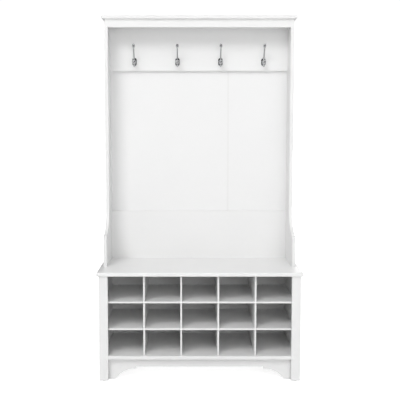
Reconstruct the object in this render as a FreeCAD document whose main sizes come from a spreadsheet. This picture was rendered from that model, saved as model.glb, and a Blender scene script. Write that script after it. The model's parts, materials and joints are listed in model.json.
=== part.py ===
"""White hall tree with hooks: a cubby bench with a coat-hook hutch above it.

Millimetres. X runs left to right, Y from the front edge of the seat to the wall, Z up.
The origin is on the floor under the middle of the overall box.
"""
import FreeCAD, Part
import Sketcher
import math
import os
import re

SIZES = {
    # overall box and the main heights
    "overall_width": 972,
    "overall_depth": 404,
    "overall_height": 1748,
    "seat_height": 525,
    # sheet stock
    "panel_thickness": 16,
    "grid_thickness": 8,
    "back_thickness": 3,
    "bench_top_thickness": 19,
    "cap_thickness": 16,
    "edge_radius": 0.8,
    # bench
    "seat_overhang": 9.5,
    "seat_top_round": 7,
    "seat_under_round": 4,
    "seat_corner_round": 8,
    "post_width": 43,
    "post_thickness": 18,
    "post_reveal": 10,
    "glide_height": 3,
    "glide_diameter": 14,
    "floor_board_top": 123,
    "skirt_setback": 26,
    "skirt_clearance": 63,
    "foot_width": 48,
    "foot_arc_radius": 121,
    "moulding_step": 9.5,
    "block_length": 60,
    "block_side": 20,
    # cubby grid
    "cubby_pitch": 176,
    "cubby_clear_height": 121,
    "slot_clearance": 0.3,
    "dado_depth": 4,
    "dado_end_gap": 0.5,
    # thin backs, let into the rear edges of the sides
    "back_inset": 1,
    "rebate_width": 8,
    "back_side_gap": 0.3,
    "back_seam": 150,
    "seam_web": 1.2,
    "seam_flange": 9,
    "seam_lip": 0.7,
    "seam_gap": 0.2,
    # hutch
    "hutch_top_depth": 130,
    "hutch_foot_depth": 265,
    "hutch_foot_height": 143,
    "rail_height": 245,
    "fascia_height": 40,
    "cap_overhang": 13,
    "cap_round": 4,
    "wall_hole_spacing": 406,
    "wall_hole_diameter": 5.5,
    "wall_hole_drop": 20,
    # coat hooks
    "hook_pitch": 218,
    "hook_drop": 200,
    "hook_plate_width": 22,
    "hook_plate_height": 42,
    "hook_plate_thickness": 4,
    "hook_plate_round": 1.6,
    "hook_arm_diameter": 8,
    "hook_upper_neck": 8,
    "hook_upper_bend": 20,
    "hook_upper_reach": 64,
    "hook_upper_rise": 74,
    "hook_upper_tip_length": 24,
    "hook_upper_tip_diameter": 15,
    "hook_lower_root": 7,
    "hook_lower_bend": 10,
    "hook_lower_curl_out": 25,
    "hook_lower_curl_down": 8,
    "hook_lower_tip_diameter": 20,
    "hook_lower_tip_rise": 6,
    "hook_screw_spacing": 29,
    "hook_screw_head": 6.6,
    "hook_screw_shank": 3.2,
    "hook_screw_cone": 2,
    # fastenings
    "dowel_diameter": 8,
    "dowel_half": 9,
    "dowel_end_gap": 0.5,
    "dowel_inset": 60,
    "dowel_setback": 45,
    "screw_shank": 5,
    "screw_head": 10,
    "screw_head_height": 4,
    "screw_grip": 30,
    "screw_gap": 0.2,
    "screw_inset": 45,
    "cover_diameter": 13,
    "cover_height": 0.8,
    "seat_screw_length": 45,
    "seat_screw_shank": 4,
    "seat_screw_head": 8,
    "seat_screw_cone": 2.4,
    "seat_screw_pitch": 250,
    "nail_shank": 1.4,
    "nail_length": 16,
    "nail_head": 3.4,
    "nail_head_height": 0.5,
    "nail_pitch": 150,
    "nail_inset": 20,
}

DERIVED = {
    "front": "0 - overall_depth / 2",
    "rear": "overall_depth / 2",
    "post_outer": "overall_width / 2 - seat_overhang",
    "post_inner": "post_outer - post_width",
    "post_front": "front + seat_overhang",
    "side_outer": "post_outer - post_reveal",
    "side_inner": "side_outer - panel_thickness",
    "grid_front": "post_front + post_thickness",
    "back_face": "rear - back_inset - back_thickness",
    "back_edge": "side_inner + rebate_width - back_side_gap",
    "rail_front": "back_face - panel_thickness",
    "rail_middle": "back_face - panel_thickness / 2",
    "seat_underside": "seat_height - bench_top_thickness",
    "floor_board_underside": "floor_board_top - panel_thickness",
    "floor_board_middle": "floor_board_top - panel_thickness / 2",
    "base_rail_middle": "(floor_board_underside + skirt_clearance) / 2",
    "skirt_front": "post_front + skirt_setback",
    "skirt_middle": "skirt_front + panel_thickness / 2",
    "lower_shelf": "floor_board_top + cubby_clear_height",
    "shelf_pitch": "cubby_clear_height + grid_thickness",
    "grid_middle": "(grid_front + back_face) / 2",
    "slot_width": "grid_thickness + slot_clearance",
    "cap_underside": "overall_height - cap_thickness",
    "cap_outer": "side_outer + cap_overhang",
    "cap_front": "hutch_front - cap_overhang",
    "hutch_front": "rear - hutch_top_depth",
    "hutch_foot_front": "rear - hutch_foot_depth",
    "fascia_middle": "hutch_front + panel_thickness / 2",
    "fascia_middle_height": "cap_underside - fascia_height / 2",
    "ledge_height": "seat_height + hutch_foot_height",
    "cove_radius": "hutch_foot_depth - hutch_top_depth - moulding_step",
    "arc_end_height": "skirt_clearance - moulding_step",
    "arc_centre_height": "arc_end_height - foot_arc_radius",
    "arc_run": "sqrt(foot_arc_radius ^ 2 - (glide_height - arc_centre_height) ^ 2)",
    "foot_inner": "side_inner - foot_width",
    "arch_end": "foot_inner - arc_run",
    "lower_rail_top": "seat_height + rail_height",
    "hook_rail_bottom": "cap_underside - rail_height",
    "hook_middle": "cap_underside - hook_drop",
    "hook_screw_length": "hook_plate_thickness + panel_thickness - back_thickness",
    "wall_hole_height": "cap_underside - wall_hole_drop",
    "wall_hole_reach": "wall_hole_spacing / 2",
    "hook_upper_angle": "atan2(hook_upper_rise - hook_upper_bend; hook_upper_reach - hook_upper_neck)"
    " + asin(hook_upper_bend / hook_upper_span)",
    "hook_upper_span": "sqrt((hook_upper_rise - hook_upper_bend) ^ 2"
    " + (hook_upper_reach - hook_upper_neck) ^ 2)",
    "hook_lower_reach": "hook_lower_curl_out + hook_curl_radius",
    "hook_curl_radius": "sqrt(hook_lower_curl_out ^ 2"
    " + (hook_lower_root + hook_lower_bend - hook_lower_curl_down) ^ 2) - hook_lower_bend",
    "front_dowel": "0 - dowel_setback",
    "rear_dowel": "rear - dowel_inset",
    "bench_front_dowel": "grid_front + dowel_inset",
    "bench_rear_dowel": "rear - dowel_inset - dowel_setback",
    "dowel_line": "side_inner + panel_thickness / 2",
}

# For each sketch plane: its across axis, its up axis, its normal axis and the way the normal points.
PLANES = {
    "XY_Plane": ("x", "y", "z", 1),
    "XZ_Plane": ("x", "z", "y", -1),
    "YZ_Plane": ("y", "z", "x", 1),
}
START, END, CENTRE = 1, 2, 3
H_AXIS, V_AXIS = -1, -2
SAME = 1e-4
DIVIDERS = 4
SHELVES = 2
BENCH_NAILS = 5
HUTCH_NAILS = 9
RAIL_NAIL_STEPS = (-2, -1, 0, 1, 2)


def formula(text):
    """Turn the plain size names in a formula into references to the sheet."""

    def refer(found):
        word = found.group(0)
        if word in DERIVED:
            return "(" + formula(DERIVED[word]) + ")"
        if word in SIZES:
            return "Sizes." + word
        return word

    return re.sub(r"[a-z_]+", refer, text)


def minus(text):
    """The formula with its sign turned."""
    return f"0 - ({text})"


def read(thing, text):
    """The present value of a formula, evaluated on an object of the document."""
    return float(thing.evalExpression(formula(text)))


def make_sheet(doc):
    """Write every driving dimension into the spreadsheet, one row each."""
    sheet = doc.addObject("Spreadsheet::Sheet", "Sizes")
    for row, (name, value) in enumerate(SIZES.items(), start=1):
        sheet.set(f"A{row}", name.replace("_", " "))
        sheet.set(f"B{row}", str(value))
        sheet.setAlias(f"B{row}", name)
    doc.recompute()
    return sheet


class Corner:
    """A corner of an outline; centre makes the run to the next corner an arc."""

    def __init__(self, across, up, centre=None, clockwise=False, loose=""):
        self.across = across
        self.up = up
        self.centre = centre
        self.clockwise = clockwise
        self.loose = loose


class Piece:
    """One sub-part: a body with its own corner as local origin, sized from the sheet.

    Every position given to its methods is measured in the object's frame.
    """

    def __init__(self, doc, label, corner):
        self.doc = doc
        self.body = doc.addObject("PartDesign::Body", label)
        self.body.Label = label
        self.corner = dict(zip("xyz", corner))
        for axis, text in self.corner.items():
            self.body.setExpression("Placement.Base." + axis, formula(text))

    def origin_feature(self, role):
        """One of the body's own planes or axes."""
        return next(item for item in self.body.Origin.OriginFeatures if item.Role == role)

    def local(self, axis, text):
        """A position in the object's frame, as a formula in the body's own frame."""
        return f"({text}) - ({self.corner[axis]})"

    def sketch(self, plane, level):
        """A new sketch parallel to one of the body's planes, at a level of the object's frame."""
        _, _, normal, way = PLANES[plane]
        sketch = self.body.newObject("Sketcher::SketchObject", "outline")
        sketch.AttachmentSupport = [(self.origin_feature(plane), "")]
        sketch.MapMode = "FlatFace"
        lift = self.local(normal, level)
        if way < 0:
            lift = minus(lift)
        sketch.setExpression("AttachmentOffset.Base.z", formula(lift))
        return sketch

    def point(self, sketch, plane, across, up):
        """The present position of a sketch point."""
        across_axis, up_axis, _, _ = PLANES[plane]
        x = read(sketch, self.local(across_axis, across))
        y = read(sketch, self.local(up_axis, up))
        return FreeCAD.Vector(x, y, 0)

    def pin(self, sketch, plane, curve, end, across=None, up=None):
        """Fix a sketch point at its formulas."""
        across_axis, up_axis, _, _ = PLANES[plane]
        for kind, axis, text, zero_line in (
            ("DistanceX", across_axis, across, V_AXIS),
            ("DistanceY", up_axis, up, H_AXIS),
        ):
            if text is None:
                continue
            if text == self.corner[axis]:
                sketch.addConstraint(Sketcher.Constraint("PointOnObject", curve, end, zero_line))
                continue
            rule = formula(self.local(axis, text))
            now = float(sketch.evalExpression(rule))
            fixed = Sketcher.Constraint(kind, H_AXIS, START, curve, end, now)
            number = sketch.addConstraint(fixed)
            sketch.setExpression(f"Constraints[{number}]", rule)

    def draw(self, sketch, plane, corners):
        """Draw a closed outline of straight runs and arcs."""
        starts, ends = [], []
        spots = [self.point(sketch, plane, corner.across, corner.up) for corner in corners]
        for number, corner in enumerate(corners):
            here, there = spots[number], spots[(number + 1) % len(spots)]
            if corner.centre is None:
                curve = sketch.addGeometry(Part.LineSegment(here, there))
                starts.append((curve, START))
                ends.append((curve, END))
                continue
            middle = self.point(sketch, plane, *corner.centre)
            first, last = (there, here) if corner.clockwise else (here, there)
            from_angle = math.atan2(first.y - middle.y, first.x - middle.x)
            to_angle = math.atan2(last.y - middle.y, last.x - middle.x)
            if to_angle <= from_angle:
                to_angle += 2 * math.pi
            radius = first.distanceToPoint(middle)
            circle = Part.Circle(middle, FreeCAD.Vector(0, 0, 1), radius)
            curve = sketch.addGeometry(Part.ArcOfCircle(circle, from_angle, to_angle))
            starts.append((curve, END if corner.clockwise else START))
            ends.append((curve, START if corner.clockwise else END))
            self.pin(sketch, plane, curve, CENTRE, *corner.centre)
        for number, corner in enumerate(corners):
            following = starts[(number + 1) % len(corners)]
            sketch.addConstraint(Sketcher.Constraint("Coincident", *ends[number], *following))
            across = None if "across" in corner.loose else corner.across
            up = None if "up" in corner.loose else corner.up
            self.pin(sketch, plane, *starts[number], across, up)
        return sketch

    def rectangle(self, sketch, plane, low, high):
        """Draw a rectangle between two opposite corners."""
        corners = [
            Corner(low[0], low[1]),
            Corner(high[0], low[1]),
            Corner(high[0], high[1]),
            Corner(low[0], high[1]),
        ]
        return self.draw(sketch, plane, corners)

    def circles(self, sketch, plane, spots, diameter):
        """Draw equal circles."""
        for across, up in spots:
            middle = self.point(sketch, plane, across, up)
            size = read(sketch, diameter)
            circle = Part.Circle(middle, FreeCAD.Vector(0, 0, 1), size / 2)
            curve = sketch.addGeometry(circle)
            self.pin(sketch, plane, curve, CENTRE, across, up)
            number = sketch.addConstraint(Sketcher.Constraint("Diameter", curve, size))
            sketch.setExpression(f"Constraints[{number}]", formula(diameter))
        return sketch

    def pad(self, sketch, plane, length):
        """Raise a solid from a sketch towards +X, +Y or +Z."""
        feature = self.body.newObject("PartDesign::Pad", "board")
        feature.Profile = sketch
        feature.setExpression("Length", formula(length))
        feature.Reversed = PLANES[plane][3] < 0
        self.doc.recompute()
        return feature

    def pocket(self, sketch, plane, length, toward):
        """Cut from a sketch towards the plus (1) or minus (-1) side of its normal axis."""
        before = self.body.Shape.Volume
        feature = self.body.newObject("PartDesign::Pocket", "cut")
        feature.Profile = sketch
        feature.setExpression("Length", formula(length))
        feature.Reversed = toward == PLANES[plane][3]
        self.doc.recompute()
        if self.body.Shape.Volume >= before:
            raise RuntimeError(f"{self.body.Label}: a pocket cut nothing")
        return feature

    def bores(self, plane, level, spots, diameter, length, toward):
        """Drill equal round holes from one level."""
        sketch = self.circles(self.sketch(plane, level), plane, spots, diameter)
        return self.pocket(sketch, plane, length, toward)

    def repeat(self, feature, axis_role, length, count):
        """Repeat a feature along an axis; the length is from the first to the last."""
        pattern = self.body.newObject("PartDesign::LinearPattern", "row")
        pattern.Originals = [feature]
        pattern.Direction = (self.origin_feature(axis_role), [""])
        pattern.setExpression("Length", formula(length))
        pattern.Occurrences = count
        self.body.Tip = pattern
        self.doc.recompute()
        return pattern

    def soften(self, radius, wanted):
        """Round every edge of the present solid that the test picks."""
        base = self.body.Tip
        edges = base.Shape.Edges
        names = [f"Edge{number}" for number, edge in enumerate(edges, 1) if wanted(edge)]
        feature = self.body.newObject("PartDesign::Fillet", "rounding")
        feature.Base = (base, names)
        feature.setExpression("Radius", formula(radius))
        self.doc.recompute()
        return feature

    def value(self, axis, text):
        """A position of the object's frame as a number in the body's frame."""
        return read(self.body, self.local(axis, text))


def near(value, target):
    """Whether two lengths are the same."""
    return abs(value - target) < SAME


def is_straight(edge):
    """Whether an edge is a straight line."""
    return isinstance(edge.Curve, (Part.Line, Part.LineSegment))


def block(doc, label, low, high):
    """A square-edged board between two opposite corners."""
    piece = Piece(doc, label, low)
    sketch = piece.rectangle(piece.sketch("XY_Plane", low[2]), "XY_Plane", low[:2], high[:2])
    piece.pad(sketch, "XY_Plane", f"({high[2]}) - ({low[2]})")
    return piece


def board(doc, label, low, high):
    """A board with all its edges slightly rounded."""
    piece = block(doc, label, low, high)
    piece.soften("edge_radius", lambda edge: True)
    return piece


def mirrored(side, text):
    """The formula for the right side, with its sign turned for the left."""
    return text if side == "right" else minus(text)


def span(side, inner, outer):
    """Low and high X of something that lies between two distances from the middle."""
    return (inner, outer) if side == "right" else (minus(outer), minus(inner))


def side_screw_spots(group):
    """Where the screws pass through the side panels, as (Y, Z)."""
    bench = [
        ("grid_front + screw_inset", "floor_board_middle"),
        ("rail_front - screw_inset", "floor_board_middle"),
        ("rail_middle", "base_rail_middle"),
        ("skirt_middle", "base_rail_middle"),
    ]
    hutch = [
        ("rail_middle", "seat_height + screw_inset"),
        ("rail_middle", "lower_rail_top - screw_inset"),
        ("rail_middle", "hook_rail_bottom + screw_inset"),
        ("rail_middle", "cap_underside - screw_inset"),
        ("fascia_middle", "fascia_middle_height"),
    ]
    return {"bench": bench, "hutch": hutch}[group]


def bore_ends(piece, spots):
    """Blind holes in both ends of a board for the screws through the sides."""
    length = "screw_grip + screw_gap"
    hole = "screw_shank + screw_gap"
    piece.bores("YZ_Plane", minus("side_inner"), spots, hole, length, 1)
    piece.bores("YZ_Plane", "side_inner", spots, hole, length, -1)


def bore_side(piece, side, spots):
    """Counterbored holes through a side panel for its screws."""
    outer = mirrored(side, "side_outer")
    toward = -1 if side == "right" else 1
    hole = "screw_shank + screw_gap"
    head = "screw_head + screw_gap"
    piece.bores("YZ_Plane", outer, spots, hole, "panel_thickness", toward)
    piece.bores("YZ_Plane", outer, spots, head, "screw_head_height + screw_gap", toward)


def make_bench_top(doc):
    """The seat: a thick board with a rounded front and side edge."""
    low = (minus("overall_width / 2"), "front", "seat_underside")
    high = ("overall_width / 2", "rear", "seat_height")
    piece = block(doc, "bench_top", low, high)
    depth = "dowel_half + dowel_end_gap"
    for side in ("left", "right"):
        line = mirrored(side, "dowel_line")
        below = [(line, "bench_front_dowel"), (line, "bench_rear_dowel")]
        above = [(line, "front_dowel"), (line, "rear_dowel")]
        piece.bores("XY_Plane", "seat_underside", below, "dowel_diameter", depth, 1)
        piece.bores("XY_Plane", "seat_height", above, "dowel_diameter", depth, -1)
    spots = [(x, "rail_middle") for x in seat_screw_places()]
    hole = "seat_screw_shank + screw_gap"
    piece.bores("XY_Plane", "seat_underside", spots, hole, "bench_top_thickness", 1)
    head = "seat_screw_head + screw_gap"
    piece.bores("XY_Plane", "seat_underside", spots, head, "seat_screw_cone + screw_gap", 1)
    half = piece.value("x", "0")
    front_y = piece.value("y", "front")

    def upright_front(edge):
        straight = is_straight(edge) and near(edge.Length, piece.value("z", "seat_height"))
        return straight and near(edge.CenterOfMass.y, front_y)

    piece.soften("seat_corner_round", upright_front)
    top = piece.value("z", "seat_height")
    rear_y = piece.value("y", "rear")

    def rim(level):
        def wanted(edge):
            spot = edge.CenterOfMass
            flat = near(edge.BoundBox.ZMin, level) and near(edge.BoundBox.ZMax, level)
            outside = abs(spot.x - half) > piece.value("x", "side_outer") - half
            outside = outside or near(spot.y, front_y)
            return flat and outside and not near(spot.y, rear_y)

        return wanted

    piece.soften("seat_top_round", rim(top))
    piece.soften("seat_under_round", rim(0))
    return piece


def seat_screw_places():
    """X of the screws that hold the seat to the lower back rail."""
    outer = "seat_screw_pitch * 3 / 2"
    inner = "seat_screw_pitch / 2"
    return [minus(outer), minus(inner), inner, outer]


def cut_rebate(piece, side, low, high):
    """Cut the rebate for the thin back along the inner rear edge of a side panel."""
    left, right = span(side, "side_inner", "side_inner + rebate_width")
    sketch = piece.sketch("XY_Plane", low)
    piece.rectangle(sketch, "XY_Plane", (left, "back_face"), (right, "rear"))
    piece.pocket(sketch, "XY_Plane", f"({high}) - ({low})", 1)


def make_bench_side(doc, side):
    """A bench side panel, with grooves for the shelf ends and a rebate for the back."""
    left, right = span(side, "side_inner", "side_outer")
    low = (left, "grid_front", "glide_height")
    piece = block(doc, f"{side}_bench_side", low, (right, "rear", "seat_underside"))
    cut_rebate(piece, side, "glide_height", "seat_underside")
    toward = 1 if side == "right" else -1
    groove = piece.sketch("YZ_Plane", mirrored(side, "side_inner"))
    bottom = ("grid_front", "lower_shelf - slot_clearance / 2")
    top = ("back_face", "lower_shelf + grid_thickness + slot_clearance / 2")
    piece.rectangle(groove, "YZ_Plane", bottom, top)
    dado = piece.pocket(groove, "YZ_Plane", "dado_depth", toward)
    piece.repeat(dado, "Z_Axis", "shelf_pitch", SHELVES)
    line = mirrored(side, "dowel_line")
    spots = [(line, "bench_front_dowel"), (line, "bench_rear_dowel")]
    depth = "dowel_half + dowel_end_gap"
    piece.bores("XY_Plane", "seat_underside", spots, "dowel_diameter", depth, -1)
    bore_side(piece, side, side_screw_spots("bench"))
    outer = piece.value("x", mirrored(side, "side_outer"))
    rear_y = piece.value("y", "rear")
    piece.soften("edge_radius", lambda edge: outer_rear_edge(edge, outer, rear_y))
    return piece


def outer_rear_edge(edge, outer, rear_y):
    """The upright outer rear edge of a side panel."""
    spot = edge.CenterOfMass
    return is_straight(edge) and near(spot.x, outer) and near(spot.y, rear_y)


def make_front_post(doc, side):
    """A front post that covers the side panel's front edge and stands on a glide."""
    left, right = span(side, "post_inner", "post_outer")
    low = (left, "post_front", "glide_height")
    return board(doc, f"{side}_front_post", low, (right, "grid_front", "seat_underside"))


def make_floor_board(doc):
    """The bottom board of the cubbies, notched round the two posts."""
    low = (minus("side_inner"), "post_front", "floor_board_underside")
    piece = Piece(doc, "cubby_floor_board", low)
    corners = [
        Corner(minus("post_inner"), "post_front"),
        Corner("post_inner", "post_front"),
        Corner("post_inner", "grid_front"),
        Corner("side_inner", "grid_front"),
        Corner("side_inner", "back_face"),
        Corner(minus("side_inner"), "back_face"),
        Corner(minus("side_inner"), "grid_front"),
        Corner(minus("post_inner"), "grid_front"),
    ]
    sketch = piece.draw(piece.sketch("XY_Plane", low[2]), "XY_Plane", corners)
    piece.pad(sketch, "XY_Plane", "panel_thickness")
    bore_ends(piece, side_screw_spots("bench")[:2])
    front_y = piece.value("y", "post_front")
    piece.soften("edge_radius", lambda edge: near(edge.BoundBox.YMax, front_y))
    return piece


def make_skirt(doc):
    """The skirt: two feet, a quarter-round cut beside each, a small step and a straight run."""
    low = (minus("side_inner"), "skirt_front", "glide_height")
    piece = Piece(doc, "skirt_board", low)
    centre = "arc_centre_height"
    corners = [
        Corner(minus("side_inner"), "glide_height"),
        Corner(
            minus("foot_inner"),
            "glide_height",
            centre=(minus("arch_end"), centre),
            clockwise=True,
            loose="across",
        ),
        Corner(minus("arch_end"), "arc_end_height"),
        Corner(minus("arch_end"), "skirt_clearance"),
        Corner("arch_end", "skirt_clearance"),
        Corner("arch_end", "arc_end_height", centre=("arch_end", centre), clockwise=True),
        Corner("foot_inner", "glide_height", loose="across"),
        Corner("side_inner", "glide_height"),
        Corner("side_inner", "floor_board_underside"),
        Corner(minus("side_inner"), "floor_board_underside"),
    ]
    sketch = piece.draw(piece.sketch("XZ_Plane", "skirt_front"), "XZ_Plane", corners)
    piece.pad(sketch, "XZ_Plane", "panel_thickness")
    bore_ends(piece, side_screw_spots("bench")[3:])
    front_y = piece.value("y", "skirt_front")
    top = piece.value("z", "floor_board_underside")
    edge_x = piece.value("x", "side_inner")

    def arch_edge(edge):
        box = edge.BoundBox
        inside = not near(box.XMin, edge_x) and not near(box.XMax, 0)
        return near(box.YMin, front_y) and near(box.YMax, front_y) and inside and box.ZMax < top - SAME

    piece.soften("edge_radius", arch_edge)
    return piece


def make_corner_blocks(doc):
    """Glue blocks in the corners between skirt and bottom board."""
    group = []
    for side in ("left", "right"):
        for row, place in (("outer", "foot_inner - block_length"), ("inner", "0")):
            if row == "inner" and side == "left":
                continue
            name = f"{side}_{row}_corner_block"
            box = doc.addObject("Part::Box", name)
            start = mirrored(side, place)
            if side == "left":
                start = f"({start}) - block_length"
            bind(box, "Length", "block_length")
            bind(box, "Width", "block_side")
            bind(box, "Height", "block_side")
            bind(box, "Placement.Base.x", start)
            bind(box, "Placement.Base.y", "skirt_front + panel_thickness")
            bind(box, "Placement.Base.z", "floor_board_underside - block_side")
            group.append(box)
    return join(doc, "corner_blocks", group)


def bind(thing, name, text):
    """Tie a property to a formula of the sheet."""
    thing.setExpression(name, formula(text))


def join(doc, label, members):
    """Gather separate solids of one kind under one label."""
    group = doc.addObject("Part::Compound", label)
    group.Label = label
    group.Links = members
    doc.recompute()
    return group


def make_base_rail(doc):
    """The rail below the bottom board at the rear."""
    low = (minus("side_inner"), "rail_front", "skirt_clearance")
    piece = block(doc, "rear_base_rail", low, ("side_inner", "back_face", "floor_board_underside"))
    bore_ends(piece, side_screw_spots("bench")[2:3])
    return piece


def make_bench_back(doc):
    """The thin back of the cubbies, let into the side rebates."""
    low = (minus("back_edge"), "back_face", "skirt_clearance")
    high = ("back_edge", "back_face + back_thickness", "seat_underside")
    return block(doc, "bench_back_panel", low, high)


def make_shelf(doc, label, level):
    """A cubby shelf, slotted from the rear where it crosses the dividers."""
    end = "side_inner + dado_depth - dado_end_gap"
    low = (minus(end), "grid_front", level)
    piece = block(doc, label, low, (end, "back_face", f"{level} + grid_thickness"))
    middle = "0 - cubby_pitch * 3 / 2"
    left = f"{middle} - slot_width / 2"
    right = f"{middle} + slot_width / 2"
    slot = piece.sketch("XY_Plane", level)
    start = "grid_middle - slot_clearance / 2"
    piece.rectangle(slot, "XY_Plane", (left, start), (right, "back_face"))
    cut = piece.pocket(slot, "XY_Plane", "grid_thickness", 1)
    piece.repeat(cut, "X_Axis", "cubby_pitch * 3", DIVIDERS)
    front_y = piece.value("y", "grid_front")
    piece.soften("edge_radius", lambda edge: near(edge.BoundBox.YMax, front_y))
    return piece


def make_divider(doc, number):
    """An upright cubby divider, slotted from the front where it crosses the shelves."""
    middle = f"cubby_pitch * ({number} - 5 / 2)"
    low = (f"{middle} - grid_thickness / 2", "grid_front", "floor_board_top")
    high = (f"{middle} + grid_thickness / 2", "back_face", "seat_underside")
    piece = block(doc, f"cubby_divider_{number}", low, high)
    slot = piece.sketch("YZ_Plane", low[0])
    bottom = ("grid_front", "lower_shelf - slot_clearance / 2")
    top = ("grid_middle + slot_clearance / 2", "lower_shelf + grid_thickness + slot_clearance / 2")
    piece.rectangle(slot, "YZ_Plane", bottom, top)
    cut = piece.pocket(slot, "YZ_Plane", "grid_thickness", 1)
    piece.repeat(cut, "Z_Axis", "shelf_pitch", SHELVES)
    front_y = piece.value("y", "grid_front")

    def front_edge(edge):
        return near(edge.BoundBox.YMax, front_y) and near(edge.BoundBox.XMax, edge.BoundBox.XMin)

    piece.soften("edge_radius", front_edge)
    return piece


def make_hutch_side(doc, side):
    """A hutch side: deep foot, small step, quarter-round cove, then a shallow upright."""
    left, right = span(side, "side_inner", "side_outer")
    low = (left, "hutch_foot_front", "seat_height")
    piece = Piece(doc, f"{side}_hutch_side", low)
    inset = "hutch_foot_front + moulding_step"
    step_top = "ledge_height + moulding_step"
    corners = [
        Corner("hutch_foot_front", "seat_height"),
        Corner("rear", "seat_height"),
        Corner("rear", "cap_underside"),
        Corner("hutch_front", "cap_underside"),
        Corner(
            "hutch_front",
            f"{step_top} + cove_radius",
            centre=(inset, f"{step_top} + cove_radius"),
            clockwise=True,
            loose="across",
        ),
        Corner(inset, step_top),
        Corner(inset, "ledge_height"),
        Corner("hutch_foot_front", "ledge_height"),
    ]
    sketch = piece.draw(piece.sketch("YZ_Plane", left), "YZ_Plane", corners)
    piece.pad(sketch, "YZ_Plane", "panel_thickness")
    front_y = piece.value("y", "hutch_front")
    step = read(piece.body, "moulding_step")

    def front_profile(edge):
        box = edge.BoundBox
        return near(box.XMin, box.XMax) and box.YMax < front_y + SAME and box.ZLength > step + SAME

    piece.soften("edge_radius", front_profile)
    outer = piece.value("x", mirrored(side, "side_outer"))
    rear_y = piece.value("y", "rear")
    piece.soften("edge_radius", lambda edge: outer_rear_edge(edge, outer, rear_y))
    cut_rebate(piece, side, "seat_height", "cap_underside")
    line = mirrored(side, "dowel_line")
    depth = "dowel_half + dowel_end_gap"
    below = [(line, "front_dowel"), (line, "rear_dowel")]
    piece.bores("XY_Plane", "seat_height", below, "dowel_diameter", depth, 1)
    above = [(line, "hutch_front + dowel_setback"), (line, "rear - dowel_setback")]
    piece.bores("XY_Plane", "cap_underside", above, "dowel_diameter", depth, -1)
    bore_side(piece, side, side_screw_spots("hutch"))
    return piece


def make_cap(doc):
    """The cap over the hutch, with rounded front and side edges."""
    low = (minus("cap_outer"), "cap_front", "cap_underside")
    piece = block(doc, "hutch_cap", low, ("cap_outer", "rear", "overall_height"))
    depth = "dowel_half + dowel_end_gap"
    spots = []
    for side in ("left", "right"):
        line = mirrored(side, "dowel_line")
        spots += [(line, "hutch_front + dowel_setback"), (line, "rear - dowel_setback")]
    piece.bores("XY_Plane", "cap_underside", spots, "dowel_diameter", depth, 1)
    height = piece.value("z", "overall_height")
    front_y = piece.value("y", "cap_front")
    rear_y = piece.value("y", "rear")
    half = piece.value("x", "0")

    def upright_front(edge):
        return is_straight(edge) and near(edge.Length, height) and near(edge.CenterOfMass.y, front_y)

    piece.soften("cap_round", upright_front)

    def rim(edge):
        box = edge.BoundBox
        level = near(box.ZMin, box.ZMax) and (near(box.ZMin, 0) or near(box.ZMin, height))
        reach = abs(edge.CenterOfMass.x - half)
        outside = reach > piece.value("x", "side_outer") - half or near(box.YMin, front_y)
        return level and outside and not near(edge.CenterOfMass.y, rear_y)

    piece.soften("cap_round", rim)
    return piece


def make_fascia(doc):
    """The narrow board under the cap at the front of the hutch."""
    low = (minus("side_inner"), "hutch_front", "cap_underside - fascia_height")
    piece = block(doc, "fascia_board", low, ("side_inner", "hutch_front + panel_thickness", "cap_underside"))
    bore_ends(piece, side_screw_spots("hutch")[4:])
    front_y = piece.value("y", "hutch_front")
    piece.soften(
        "edge_radius",
        lambda edge: near(edge.BoundBox.YMax, front_y) and near(edge.BoundBox.ZMax, 0),
    )
    return piece


def hook_places():
    """X of the four hooks."""
    outer = "hook_pitch * 3 / 2"
    inner = "hook_pitch / 2"
    return [minus(outer), minus(inner), inner, outer]


def hook_screw_levels():
    """Z of the two screws in each hook."""
    return ["hook_middle - hook_screw_spacing / 2", "hook_middle + hook_screw_spacing / 2"]


def make_hook_rail(doc):
    """The rail that carries the hooks and, behind the fascia, the two wall fixings."""
    low = (minus("side_inner"), "rail_front", "hook_rail_bottom")
    piece = block(doc, "hook_rail", low, ("side_inner", "back_face", "cap_underside"))
    bore_ends(piece, side_screw_spots("hutch")[2:4])
    spots = [(x, z) for x in hook_places() for z in hook_screw_levels()]
    depth = "hook_screw_length - hook_plate_thickness + screw_gap"
    piece.bores("XZ_Plane", "rail_front", spots, "hook_screw_shank", depth, 1)
    wall = [(minus("wall_hole_reach"), "wall_hole_height"), ("wall_hole_reach", "wall_hole_height")]
    piece.bores("XZ_Plane", "rail_front", wall, "wall_hole_diameter", "panel_thickness", 1)
    front_y = piece.value("y", "rail_front")
    piece.soften(
        "edge_radius",
        lambda edge: near(edge.BoundBox.YMax, front_y) and near(edge.BoundBox.ZMax, 0),
    )
    return piece


def make_lower_rail(doc):
    """The back board above the seat; its top edge is a narrow ledge."""
    low = (minus("side_inner"), "rail_front", "seat_height")
    piece = block(doc, "lower_back_rail", low, ("side_inner", "back_face", "lower_rail_top"))
    bore_ends(piece, side_screw_spots("hutch")[:2])
    spots = [(x, "rail_middle") for x in seat_screw_places()]
    depth = "seat_screw_length - bench_top_thickness + screw_gap"
    piece.bores("XY_Plane", "seat_height", spots, "seat_screw_shank", depth, 1)
    front_y = piece.value("y", "rail_front")
    top = piece.value("z", "lower_rail_top")
    piece.soften(
        "edge_radius",
        lambda edge: near(edge.BoundBox.YMax, front_y) and near(edge.BoundBox.ZMin, top),
    )
    return piece


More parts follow.
